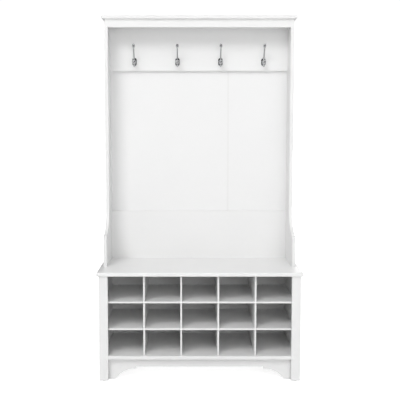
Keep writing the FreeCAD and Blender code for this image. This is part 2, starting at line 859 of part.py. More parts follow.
def make_hutch_back(doc, side):
    """One of the two thin back panels of the hutch, either side of the seam."""
    gap = "seam_web / 2 + seam_gap"
    if side == "left":
        low_x, high_x = minus("back_edge"), f"back_seam - ({gap})"
    else:
        low_x, high_x = f"back_seam + {gap}", "back_edge"
    low = (low_x, "back_face", "seat_height")
    high = (high_x, "back_face + back_thickness", "cap_underside")
    piece = block(doc, f"{side}_back_panel", low, high)
    spot = [(mirrored(side, "wall_hole_reach"), "wall_hole_height")]
    piece.bores("XZ_Plane", "back_face", spot, "wall_hole_diameter", "back_thickness", 1)
    return piece


def make_seam_strip(doc):
    """The H-shaped strip that joins the two thin backs between the rails."""
    flange_left = "back_seam - seam_flange / 2"
    flange_right = "back_seam + seam_flange / 2"
    web_left = "back_seam - seam_web / 2"
    web_right = "back_seam + seam_web / 2"
    lip_front = "back_face - seam_lip"
    back = "back_face + back_thickness"
    lip_rear = f"{back} + seam_lip"
    piece = Piece(doc, "back_seam_strip", (flange_left, lip_front, "lower_rail_top"))
    corners = [
        Corner(flange_left, lip_front),
        Corner(flange_right, lip_front),
        Corner(flange_right, "back_face"),
        Corner(web_right, "back_face"),
        Corner(web_right, back),
        Corner(flange_right, back),
        Corner(flange_right, lip_rear),
        Corner(flange_left, lip_rear),
        Corner(flange_left, back),
        Corner(web_left, back),
        Corner(web_left, "back_face"),
        Corner(flange_left, "back_face"),
    ]
    sketch = piece.draw(piece.sketch("XY_Plane", "lower_rail_top"), "XY_Plane", corners)
    piece.pad(sketch, "XY_Plane", "hook_rail_bottom - (lower_rail_top)")
    return piece


def draw_plate(piece, sketch):
    """The outline of a hook's base plate: two straight sides and two round ends."""
    half_width = "hook_plate_width / 2"
    run = "hook_plate_height / 2 - hook_plate_width / 2"
    x, z = piece.corner["x"], piece.corner["z"]
    left, right = f"({x}) - {half_width}", f"({x}) + {half_width}"
    low, high = f"({z}) - ({run})", f"({z}) + {run}"
    corners = [
        Corner(right, low, loose="across"),
        Corner(right, high, centre=(x, high)),
        Corner(left, high, loose="across"),
        Corner(left, low, centre=(x, low)),
    ]
    return piece.draw(sketch, "XZ_Plane", corners)


def upper_spine(piece):
    """The upper arm's centre line: straight out of the plate, a bend, then a straight rise."""
    sketch = piece.sketch("YZ_Plane", piece.corner["x"])
    neck, bend = read(sketch, "hook_upper_neck"), read(sketch, "hook_upper_bend")
    reach, rise = read(sketch, "hook_upper_reach"), read(sketch, "hook_upper_rise")
    angle = math.radians(read(sketch, "hook_upper_angle"))
    root = FreeCAD.Vector(0, 0, 0)
    bend_start = FreeCAD.Vector(-neck, 0, 0)
    bend_middle = FreeCAD.Vector(-neck, bend, 0)
    bend_end = bend_middle + FreeCAD.Vector(-math.sin(angle), -math.cos(angle), 0) * bend
    tip = FreeCAD.Vector(-reach, rise, 0)
    out = sketch.addGeometry(Part.LineSegment(root, bend_start))
    circle = Part.Circle(bend_middle, FreeCAD.Vector(0, 0, 1), bend)
    quarter = math.pi / 2
    arc = sketch.addGeometry(Part.ArcOfCircle(circle, -quarter - angle, -quarter))
    up = sketch.addGeometry(Part.LineSegment(bend_end, tip))
    rules = [
        ("Coincident", out, START, H_AXIS, START),
        ("Horizontal", out),
        ("Tangent", arc, END, out, END),
        ("Tangent", arc, START, up, START),
    ]
    for rule in rules:
        sketch.addConstraint(Sketcher.Constraint(*rule))
    lengths = [
        ("DistanceX", (out, END, out, START), "hook_upper_neck"),
        ("DistanceX", (up, END, H_AXIS, START), "hook_upper_reach"),
        ("DistanceY", (H_AXIS, START, up, END), "hook_upper_rise"),
        ("Radius", (arc,), "hook_upper_bend"),
    ]
    fix_lengths(sketch, lengths)
    return sketch


def fix_lengths(sketch, lengths):
    """Add measured constraints that follow the sheet."""
    for kind, ends, text in lengths:
        number = sketch.addConstraint(Sketcher.Constraint(kind, *ends, read(sketch, text)))
        sketch.setExpression(f"Constraints[{number}]", formula(text))


def lower_spine(piece):
    """The lower arm's centre line: a bend down out of the plate, then a curl up to the tip."""
    sketch = piece.sketch("YZ_Plane", piece.corner["x"])
    root, bend = read(sketch, "hook_lower_root"), read(sketch, "hook_lower_bend")
    curl_out, curl_down = read(sketch, "hook_lower_curl_out"), read(sketch, "hook_lower_curl_down")
    curl = read(sketch, "hook_curl_radius")
    upward = FreeCAD.Vector(0, 0, 1)
    bend_middle = FreeCAD.Vector(0, -root - bend, 0)
    curl_middle = FreeCAD.Vector(-curl_out, -curl_down, 0)
    meet = math.atan2(curl_middle.y - bend_middle.y, curl_middle.x - bend_middle.x) % (2 * math.pi)
    first = Part.ArcOfCircle(Part.Circle(bend_middle, upward, bend), math.pi / 2, meet)
    second = Part.ArcOfCircle(Part.Circle(curl_middle, upward, curl), math.pi, meet + math.pi)
    down = sketch.addGeometry(first)
    up = sketch.addGeometry(second)
    rules = [
        ("PointOnObject", down, START, V_AXIS),
        ("PointOnObject", down, CENTRE, V_AXIS),
        ("Tangent", down, END, up, END),
        ("Horizontal", up, START, up, CENTRE),
    ]
    for rule in rules:
        sketch.addConstraint(Sketcher.Constraint(*rule))
    lengths = [
        ("DistanceY", (down, START, H_AXIS, START), "hook_lower_root"),
        ("Radius", (down,), "hook_lower_bend"),
        ("DistanceX", (up, CENTRE, H_AXIS, START), "hook_lower_curl_out"),
        ("DistanceY", (up, CENTRE, H_AXIS, START), "hook_lower_curl_down"),
    ]
    fix_lengths(sketch, lengths)
    return sketch


def add_arm(piece, spine, level):
    """Sweep a round arm along its centre line."""
    plane = "XZ_Plane"
    section = piece.sketch(plane, piece.corner["y"])
    piece.circles(section, plane, [(piece.corner["x"], level)], "hook_arm_diameter")
    feature = piece.body.newObject("PartDesign::AdditivePipe", "arm")
    feature.Profile = section
    feature.Spine = spine
    piece.doc.recompute()
    return feature


def add_upper_tip(piece):
    """The egg-shaped end of the upper arm, in line with the arm."""
    tip = piece.body.newObject("PartDesign::AdditiveEllipsoid", "upper_tip")
    bind(tip, "Radius1", "hook_upper_tip_length / 2")
    bind(tip, "Radius2", "hook_upper_tip_diameter / 2")
    bind(tip, "Radius3", "hook_upper_tip_diameter / 2")
    bind(tip, "Placement.Base.y", minus("hook_upper_reach"))
    bind(tip, "Placement.Base.z", "hook_upper_rise")
    tip.Placement.Rotation = FreeCAD.Rotation(FreeCAD.Vector(1, 0, 0), 1)
    bind(tip, "Placement.Rotation.Angle", "90 deg - (hook_upper_angle)")
    piece.doc.recompute()
    return tip


def add_lower_tip(piece):
    """The ball on the end of the lower arm."""
    tip = piece.body.newObject("PartDesign::AdditiveSphere", "lower_tip")
    bind(tip, "Radius", "hook_lower_tip_diameter / 2")
    bind(tip, "Placement.Base.y", minus("hook_lower_reach"))
    bind(tip, "Placement.Base.z", "hook_lower_tip_rise - hook_lower_curl_down")
    piece.doc.recompute()
    return tip


def make_hook(doc, number, place):
    """A coat hook: plate, tall upper arm and curled lower arm, cast in one piece."""
    corner = (place, "rail_front", "hook_middle")
    piece = Piece(doc, f"coat_hook_{number}", corner)
    front = "rail_front - hook_plate_thickness"
    plate = draw_plate(piece, piece.sketch("XZ_Plane", front))
    piece.pad(plate, "XZ_Plane", "hook_plate_thickness")
    front_y = piece.value("y", front)
    piece.soften("hook_plate_round", lambda edge: near(edge.BoundBox.YMax, front_y))
    spots = [(place, level) for level in hook_screw_levels()]
    hole = "hook_screw_shank + screw_gap"
    piece.bores("XZ_Plane", front, spots, hole, "hook_plate_thickness", 1)
    head = "hook_screw_head + screw_gap"
    piece.bores("XZ_Plane", front, spots, head, "hook_screw_cone + screw_gap", 1)
    add_arm(piece, upper_spine(piece), "hook_middle")
    add_arm(piece, lower_spine(piece), "hook_middle - hook_lower_root")
    add_upper_tip(piece)
    add_lower_tip(piece)
    return piece


def rod(doc, name, diameter, length, at, turn):
    """A round rod from a point, along the turned Z axis."""
    thing = doc.addObject("Part::Cylinder", name)
    bind(thing, "Radius", f"({diameter}) / 2")
    bind(thing, "Height", length)
    settle(thing, at, turn)
    return thing


def cone(doc, name, wide, narrow, length, at, turn):
    """A cone that starts wide at a point and narrows along the turned Z axis."""
    thing = doc.addObject("Part::Cone", name)
    bind(thing, "Radius1", f"({wide}) / 2")
    bind(thing, "Radius2", f"({narrow}) / 2")
    bind(thing, "Height", length)
    settle(thing, at, turn)
    return thing


def settle(thing, at, turn):
    """Place a thing at a point of the object's frame."""
    thing.Placement.Rotation = turn
    for axis, text in zip("xyz", at):
        bind(thing, "Placement.Base." + axis, text)


def fuse(doc, name, parts):
    """Weld solids into one."""
    thing = doc.addObject("Part::MultiFuse", name)
    thing.Shapes = parts
    return thing


def turned(x, y, z):
    """The rotation that points the Z axis along a direction."""
    return FreeCAD.Rotation(FreeCAD.Vector(0, 0, 1), FreeCAD.Vector(x, y, z))


def make_hook_screws(doc):
    """The countersunk screws of the hooks."""
    group = []
    inward = turned(0, 1, 0)
    front = "rail_front - hook_plate_thickness"
    for place in hook_places():
        for level in hook_screw_levels():
            name = f"hook_screw_{len(group) + 1}"
            at = (place, front, level)
            neck = (place, f"{front} + hook_screw_cone / 2", level)
            length = "hook_screw_length - hook_screw_cone / 2"
            head = cone(
                doc, name + "_head", "hook_screw_head", "hook_screw_shank", "hook_screw_cone", at, inward
            )
            shank = rod(doc, name + "_shank", "hook_screw_shank", length, neck, inward)
            group.append(fuse(doc, name, [head, shank]))
    return join(doc, "hook_screws", group)


def make_seat_screws(doc):
    """The screws up through the seat into the lower back rail."""
    group = []
    upward = turned(0, 0, 1)
    for place in seat_screw_places():
        name = f"seat_screw_{len(group) + 1}"
        at = (place, "rail_middle", "seat_underside")
        neck = (place, "rail_middle", "seat_underside + seat_screw_cone / 2")
        length = "seat_screw_length - seat_screw_cone / 2"
        head = cone(
            doc, name + "_head", "seat_screw_head", "seat_screw_shank", "seat_screw_cone", at, upward
        )
        shank = rod(doc, name + "_shank", "seat_screw_shank", length, neck, upward)
        group.append(fuse(doc, name, [head, shank]))
    return join(doc, "seat_screws", group)


def make_side_screws(doc):
    """The screws through the side panels into the board ends, with their heads sunk."""
    group = []
    for side, inward in (("left", turned(1, 0, 0)), ("right", turned(-1, 0, 0))):
        for y, z in side_screw_spots("bench") + side_screw_spots("hutch"):
            name = f"{side}_side_screw_{len(group) + 1}"
            sunk = mirrored(side, "side_outer - screw_gap")
            under = mirrored(side, "side_outer - screw_gap - screw_head_height / 2")
            length = "panel_thickness + screw_grip - screw_gap - screw_head_height / 2"
            head = rod(
                doc, name + "_head", "screw_head", "screw_head_height", (sunk, y, z), inward
            )
            shank = rod(doc, name + "_shank", "screw_shank", length, (under, y, z), inward)
            group.append(fuse(doc, name, [head, shank]))
    return join(doc, "side_screws", group)


def make_cover_caps(doc):
    """The thin caps that cover the sunk screw heads on the side panels."""
    group = []
    for side, outward in (("left", turned(-1, 0, 0)), ("right", turned(1, 0, 0))):
        for y, z in side_screw_spots("bench") + side_screw_spots("hutch"):
            name = f"{side}_cover_{len(group) + 1}"
            at = (mirrored(side, "side_outer"), y, z)
            group.append(rod(doc, name, "cover_diameter", "cover_height", at, outward))
    return join(doc, "cover_caps", group)


def make_dowels(doc, label, places, level):
    """Wooden dowels that stand half below and half above a joint."""
    group = []
    for side in ("left", "right"):
        for y in places:
            at = (mirrored(side, "dowel_line"), y, f"{level} - dowel_half")
            name = f"{label}_{side}_{len(group) + 1}"
            group.append(rod(doc, name, "dowel_diameter", "dowel_half * 2", at, turned(0, 0, 1)))
    return join(doc, label, group)


def make_glides(doc):
    """The floor glides: under the two posts and under the rear of the two sides."""
    group = []
    post_line = "(post_inner + post_outer) / 2"
    post_row = "(post_front + grid_front) / 2"
    for side in ("left", "right"):
        for row, line, y in (
            ("front", post_line, post_row),
            ("rear", "dowel_line", "back_face - screw_inset"),
        ):
            at = (mirrored(side, line), y, "0")
            name = f"{side}_{row}_glide"
            group.append(rod(doc, name, "glide_diameter", "glide_height", at, turned(0, 0, 1)))
    return join(doc, "floor_glides", group)


def nail(doc, name, x, z):
    """A panel nail driven forward through a thin back."""
    surface = "back_face + back_thickness"
    forward = turned(0, -1, 0)
    head_at = (x, f"{surface} + nail_head_height", z)
    head = rod(doc, name + "_head", "nail_head", "nail_head_height", head_at, forward)
    shank = rod(doc, name + "_shank", "nail_shank", "nail_length", (x, surface, z), forward)
    return fuse(doc, name, [head, shank])


def nail_rows(low, high, count, side):
    """Nail places up one side rebate."""
    x = mirrored(side, "side_inner + rebate_width / 2")
    step = f"(({high}) - ({low}) - 2 * nail_inset) / {count - 1}"
    return [(x, f"{low} + nail_inset + {index} * {step}") for index in range(count)]


def make_nails(doc):
    """The panel nails along the sides and rails behind both thin backs."""
    places = []
    for side in ("left", "right"):
        places += nail_rows("floor_board_top", "seat_underside", BENCH_NAILS, side)
        places += nail_rows("seat_height", "cap_underside", HUTCH_NAILS, side)
    for level in ("seat_height + screw_inset", "cap_underside - screw_inset", "floor_board_middle"):
        for step in RAIL_NAIL_STEPS:
            places.append((f"nail_pitch * {step} + nail_pitch / 4", level))
    group = [nail(doc, f"nail_{number}", x, z) for number, (x, z) in enumerate(places, 1)]
    return join(doc, "panel_nails", group)


def build(doc):
    """Make every sub-part and return the objects to write."""
    pieces = [make_bench_top(doc)]
    for side in ("left", "right"):
        pieces += [make_bench_side(doc, side), make_front_post(doc, side)]
        pieces += [make_hutch_side(doc, side), make_hutch_back(doc, side)]
    pieces += [make_floor_board(doc), make_skirt(doc), make_base_rail(doc), make_bench_back(doc)]
    pieces.append(make_shelf(doc, "lower_cubby_shelf", "lower_shelf"))
    pieces.append(make_shelf(doc, "upper_cubby_shelf", "lower_shelf + shelf_pitch"))
    pieces += [make_divider(doc, number) for number in range(1, DIVIDERS + 1)]
    pieces += [make_cap(doc), make_fascia(doc), make_hook_rail(doc), make_lower_rail(doc)]
    pieces.append(make_seam_strip(doc))
    pieces += [make_hook(doc, number, place) for number, place in enumerate(hook_places(), 1)]
    groups = [make_corner_blocks(doc), make_hook_screws(doc), make_seat_screws(doc)]
    groups += [make_side_screws(doc), make_cover_caps(doc), make_glides(doc), make_nails(doc)]
    groups.append(
        make_dowels(doc, "bench_dowels", ["bench_front_dowel", "bench_rear_dowel"], "seat_underside")
    )
    groups.append(make_dowels(doc, "hutch_dowels", ["front_dowel", "rear_dowel"], "seat_height"))
    cap_places = ["hutch_front + dowel_setback", "rear - dowel_setback"]
    groups.append(make_dowels(doc, "cap_dowels", cap_places, "cap_underside"))
    doc.recompute()
    return [piece.body for piece in pieces] + groups


def check(doc, parts):
    """Stop if any object failed or any sub-part is empty or not valid."""
    for thing in doc.Objects:
        if "Invalid" in thing.State or "Error" in thing.State:
            raise RuntimeError(f"{thing.Label} failed: {thing.State}")
    for part in parts:
        if part.Shape.isNull() or not part.Shape.isValid() or not part.Shape.Solids:
            raise RuntimeError(f"{part.Label} has no valid solid")


def main():
    """Build the hall tree and write one file for each sub-part."""
    doc = FreeCAD.newDocument("hall_tree")
    make_sheet(doc)
    parts = build(doc)
    check(doc, parts)
    os.makedirs("parts", exist_ok=True)
    for part in parts:
        part.Shape.exportStep(os.path.join("parts", part.Label + ".step"))
    print(len(parts), "sub-parts written")


main()
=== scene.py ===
"""White hall tree with hooks: its finishes and chrome hardware, a floor, light and a camera.

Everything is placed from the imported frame, in metres, with X right, -Y to the front and Z up.
"""
import json
import logging
import math
from dataclasses import dataclass
from enum import Enum
from typing import Callable, Iterable

import bmesh
import bpy
from mathutils import Matrix, Vector


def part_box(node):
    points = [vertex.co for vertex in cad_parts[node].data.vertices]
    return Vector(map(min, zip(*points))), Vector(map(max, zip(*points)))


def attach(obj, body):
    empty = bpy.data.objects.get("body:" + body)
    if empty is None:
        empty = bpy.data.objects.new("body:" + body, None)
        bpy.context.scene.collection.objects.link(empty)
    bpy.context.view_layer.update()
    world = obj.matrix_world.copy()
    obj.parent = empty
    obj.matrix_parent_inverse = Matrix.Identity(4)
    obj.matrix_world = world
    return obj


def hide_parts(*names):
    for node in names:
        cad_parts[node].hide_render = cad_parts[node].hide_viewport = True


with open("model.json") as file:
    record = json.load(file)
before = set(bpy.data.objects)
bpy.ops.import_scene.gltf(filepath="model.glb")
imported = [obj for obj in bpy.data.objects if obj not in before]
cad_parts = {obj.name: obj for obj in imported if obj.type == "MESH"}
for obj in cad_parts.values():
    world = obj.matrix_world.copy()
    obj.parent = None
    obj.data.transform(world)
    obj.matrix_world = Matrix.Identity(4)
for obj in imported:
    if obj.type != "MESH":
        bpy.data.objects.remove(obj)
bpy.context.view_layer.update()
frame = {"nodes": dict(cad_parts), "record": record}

log = logging.getLogger("hall_tree")
Colour = tuple[float, float, float]
Triple = tuple[float, float, float]
BODY = "root"
FRAME_SIDE = 400
SENSOR = 36.0
HALF_TURN = math.pi
QUARTER_TURN = math.pi / 2
MM = 0.001
MERGE_DISTANCE = 0.001 * MM
OFF_PLANE = 0.1 * MM  # farther than this from a plane is beside it
FACING = 0.9  # the least cosine of a face that looks along an axis
FLAT = 0.99  # the same, without the faces of a rolled rim
WHITE = (1.0, 1.0, 1.0, 1.0)


class Slot(Enum):
    """The record's material slots."""

    BOARD = "white_board"
    BACK = "white_back"
    CHROME = "hook_chrome"
    ZINC = "zinc_steel"
    NAIL = "nail_steel"
    DOWEL = "dowel_wood"
    PLASTIC = "white_plastic"
    GLIDE = "glide_plastic"
    BLOCK = "raw_block"


class Part(Enum):
    """The kinds of mesh element that a step can pick."""

    VERT = "verts"
    FACE = "faces"


# ---------------------------------------------------------------- modelling by hand


class Workbench:
    """The hand-modelling steps, each on the object that is being shaped."""

    @staticmethod
    def clear() -> None:
        """Leave edit mode and deselect every object."""
        active = bpy.context.view_layer.objects.active
        if active is not None and active.mode != "OBJECT":
            bpy.ops.object.mode_set(mode="OBJECT")
        bpy.ops.object.select_all(action="DESELECT")

    @staticmethod
    def take(piece: bpy.types.Object) -> None:
        """Make one object the only selected and active one.

        Args:
            piece: The object to work on.
        """
        Workbench.clear()
        piece.select_set(True)
        bpy.context.view_layer.objects.active = piece

    @staticmethod
    def edit() -> None:
        """Enter edit mode on the active object with everything selected."""
        bpy.ops.object.mode_set(mode="EDIT")
        bpy.ops.mesh.select_all(action="SELECT")

    @staticmethod
    def done() -> bpy.types.Object:
        """Leave edit mode and return the active object."""
        bpy.ops.object.mode_set(mode="OBJECT")
        return bpy.context.view_layer.objects.active

    @staticmethod
    def pick(kind: Part, wanted: Callable[[Vector, Vector], bool]) -> None:
        """Select the elements of the mesh in edit mode that a test picks.

        Args:
            kind: Which elements are tested.
            wanted: Takes the element's middle and its normal, and says whether it is picked.
        """
        bpy.ops.mesh.select_mode(type=kind.name)
        bpy.ops.mesh.select_all(action="DESELECT")
        data = bpy.context.view_layer.objects.active.data
        mesh = bmesh.from_edit_mesh(data)
        for element in getattr(mesh, kind.value):
            middle = element.co if kind is Part.VERT else element.calc_center_median()
            if wanted(middle, element.normal):
                element.select_set(True)
        mesh.select_flush_mode()
        bmesh.update_edit_mesh(data)

    @staticmethod
    def apply(piece: bpy.types.Object, kind: str, **settings: object) -> None:
        """Add a modifier with these settings and apply it.

        Args:
            piece: The object that gets it.
            kind: The modifier's type.
            **settings: Its properties.
        """
        Workbench.take(piece)
        modifier = piece.modifiers.new(kind.lower(), kind)
        for name, value in settings.items():
            setattr(modifier, name, value)
        bpy.ops.object.modifier_apply(modifier=modifier.name)

    @staticmethod
    def boolean(piece: bpy.types.Object, tool: bpy.types.Object, operation: str) -> None:
        """Weld a tool to a piece (UNION) or cut it out (DIFFERENCE), and discard the tool."""
        Workbench.apply(piece, "BOOLEAN", object=tool, operation=operation, solver="EXACT")
        bpy.data.objects.remove(tool)

    @staticmethod
    def tidy(piece: bpy.types.Object, smooth_angle: float) -> None:
        """Merge doubles, turn the faces outwards and smooth what is nearly flat.

        Args:
            piece: The object to finish.
            smooth_angle: The largest angle that is smoothed, in radians.
        """
        Workbench.take(piece)
        Workbench.edit()
        bpy.ops.mesh.remove_doubles(threshold=MERGE_DISTANCE)
        bpy.ops.mesh.normals_make_consistent(inside=False)
        Workbench.done()
        bpy.ops.object.shade_smooth_by_angle(angle=smooth_angle)

    @staticmethod
    def settle(piece: bpy.types.Object) -> None:
        """Move an object's place into its mesh."""
        Workbench.take(piece)
        bpy.ops.object.transform_apply(location=True, rotation=True, scale=True)

    @staticmethod
    def copy_to(model: bpy.types.Object, name: str, place: Matrix) -> bpy.types.Object:
        """A copy of a model with its own mesh, put in place in its mesh.

        Args:
            model: What is copied.
            name: The copy's name.
            place: Where it goes.

        Returns:
            The copy.
        """
        mesh = model.data.copy()
        mesh.name = name
        mesh.transform(place)
        piece = bpy.data.objects.new(name, mesh)
        bpy.context.scene.collection.objects.link(piece)
        return piece


@dataclass
class Rod:
    """A round rod drawn ring by ring from its closed root, in a plane across X."""

    name: str
    centre: Vector
    heading: Vector
    radius: float
    sides: int = 20
    root_inset: float = 0.1

    def start(self) -> "Rod":
        """Add the root ring and enter edit mode on it.

        Returns:
            The rod.
        """
        Workbench.clear()
        turn = self.heading.to_track_quat("Z", "Y").to_euler()
        bpy.ops.mesh.primitive_circle_add(
            vertices=self.sides,
            radius=self.radius,
            fill_type="NOTHING",
            location=self.centre,
            rotation=turn,
        )
        piece = bpy.context.view_layer.objects.active
        piece.name = self.name
        Workbench.settle(piece)
        Workbench.edit()
        return self

    def go(self, length: float, radius: float | None = None) -> "Rod":
        """Extrude the last ring along the heading.

        Args:
            length: How far.
            radius: The new ring's radius, or None to keep it.

        Returns:
            The rod.
        """
        step = self.heading * length
        bpy.ops.mesh.extrude_region_move(TRANSFORM_OT_translate={"value": step})
        self.centre = self.centre + step
        if radius is not None:
            share = radius / self.radius
            bpy.ops.transform.resize(value=(share, share, share), center_override=self.centre)
            self.radius = radius
        return self

    def bend(self, pivot: Vector, angle: float, steps: int) -> "Rod":
        """Spin the last ring about an X axis through a pivot.

        Args:
            pivot: A point on the axis.
            angle: How far, in radians, positive from +Y towards +Z.
            steps: How many rings.

        Returns:
            The rod.
        """
        turn = Matrix.Rotation(angle, 3, "X")
        share = Matrix.Rotation(angle / steps, 3, "X")
        for _ in range(steps):
            bpy.ops.mesh.spin(steps=1, angle=-angle / steps, center=pivot, axis=(1, 0, 0))
            self.centre = pivot + share @ (self.centre - pivot)
        self.heading = turn @ self.heading
        return self

    def bulb(self, half_length: float, half_width: float, rings: int) -> "Rod":
        """Swell the last ring into an egg and close it.

        Args:
            half_length: Half the egg's length.
            half_width: Half its width, more than the rod's radius.
            rings: How many rings it has.

        Returns:
            The rod.
        """
        first = math.asin(self.radius / half_width)
        along = -half_length * math.cos(first)
        for number in range(1, rings):
            angle = first + (HALF_TURN - first) * number / rings
            reach = -half_length * math.cos(angle)
            self.go(reach - along, half_width * math.sin(angle))
            along = reach
        self.go(half_length - along)
        bpy.ops.mesh.merge(type="CENTER")
        return self

    def finish(self, smooth: int) -> bpy.types.Object:
        """Close the root and subdivide the rod.

        Args:
            smooth: The number of subdivisions.

        Returns:
            The rod's object.
        """
        bpy.ops.mesh.select_all(action="SELECT")
        bpy.ops.mesh.remove_doubles(threshold=MERGE_DISTANCE)
        bpy.ops.mesh.select_mode(type="EDGE")
        bpy.ops.mesh.select_all(action="DESELECT")
        bpy.ops.mesh.select_non_manifold()
        bpy.ops.mesh.edge_face_add()
        bpy.ops.mesh.inset(thickness=self.radius * self.root_inset)
        bpy.ops.mesh.select_all(action="SELECT")
        bpy.ops.mesh.normals_make_consistent(inside=False)
        piece = Workbench.done()
        Workbench.apply(piece, "SUBSURF", levels=smooth, render_levels=smooth)
        return piece


# ---------------------------------------------------------------- shared surface effects


class NodeSheet:
    """A node tree that is being laid out."""

    def __init__(self, tree: bpy.types.NodeTree) -> None:
        """Keep the tree that is to be filled."""
        self.tree = tree

    def add(self, kind: str, **settings: object) -> bpy.types.Node:
        """Add a node and set its properties.

        Args:
            kind: The node's type.
            **settings: Its properties.

        Returns:
            The node.
        """
        node = self.tree.nodes.new(kind)
        for name, value in settings.items():
            setattr(node, name, value)
        return node

    def wire(self, source: bpy.types.NodeSocket, target: bpy.types.NodeSocket) -> None:
        """Link an output to an input."""
        self.tree.links.new(source, target)

    def noise(
        self, vector: bpy.types.NodeSocket, scale: float, detail: float
    ) -> bpy.types.NodeSocket:
        """A noise pattern's value.

        Args:
            vector: Where it is read.
            scale: Features per metre.
            detail: Its octaves.

        Returns:
            The value output.
        """
        node = self.add("ShaderNodeTexNoise")
        node.inputs["Scale"].default_value = scale
        node.inputs["Detail"].default_value = detail
        self.wire(vector, node.inputs["Vector"])
        return node.outputs["Fac"]

    def remap(
        self, value: bpy.types.NodeSocket, low: float, high: float, new_low: float, new_high: float
    ) -> bpy.types.NodeSocket:
        """Spread a value over a new range, clamped.

        Args:
            value: The value output.
            low: Where the old range starts.
            high: Where it ends.
            new_low: What low becomes.
            new_high: What high becomes.

        Returns:
            The new value output.
        """
        node = self.add("ShaderNodeMapRange", clamp=True)
        for name, number in (
            ("From Min", low),
            ("From Max", high),
            ("To Min", new_low),
            ("To Max", new_high),
        ):
            node.inputs[name].default_value = number
        self.wire(value, node.inputs["Value"])
        return node.outputs["Result"]

    def math(self, operation: str, first: object, second: object) -> bpy.types.NodeSocket:
        """A two-input sum, product or the like.

        Args:
            operation: The Math node's operation.
            first: An output or a number.
            second: An output or a number.

        Returns:
            The result output.
        """
        node = self.add("ShaderNodeMath", operation=operation)
        for number, value in enumerate((first, second)):
            if isinstance(value, bpy.types.NodeSocket):
                self.wire(value, node.inputs[number])
            else:
                node.inputs[number].default_value = value
        return node.outputs[0]

    def blend(
        self, mask: bpy.types.NodeSocket, first: Colour, second: Colour
    ) -> bpy.types.NodeSocket:
        """A colour between two colours.

        Args:
            mask: 0 for the first colour and 1 for the second.
            first: A colour.
            second: A colour.

        Returns:
            The colour output.
        """
        node = self.add("ShaderNodeMix", data_type="RGBA")
        colours = [socket for socket in node.inputs if socket.type == "RGBA"]
        colours[0].default_value = (*first, 1.0)
        colours[1].default_value = (*second, 1.0)
        self.wire(mask, node.inputs["Factor"])
        return next(socket for socket in node.outputs if socket.type == "RGBA")


class Effect(Enum):
    """The surface effects that several finishes share."""

    CLOUD = "soft_tone_cloud"
    SMUDGE = "wiped_smudge"
    PEEL = "sprayed_orange_peel"
    GRAIN = "timber_grain"
    BRUSH = "drawn_brush_lines"


@dataclass(frozen=True)
class Pattern:
    """A noise pattern: its features per metre, its octaves and its share of a sum."""

    scale: float
    detail: float
    share: float = 1.0


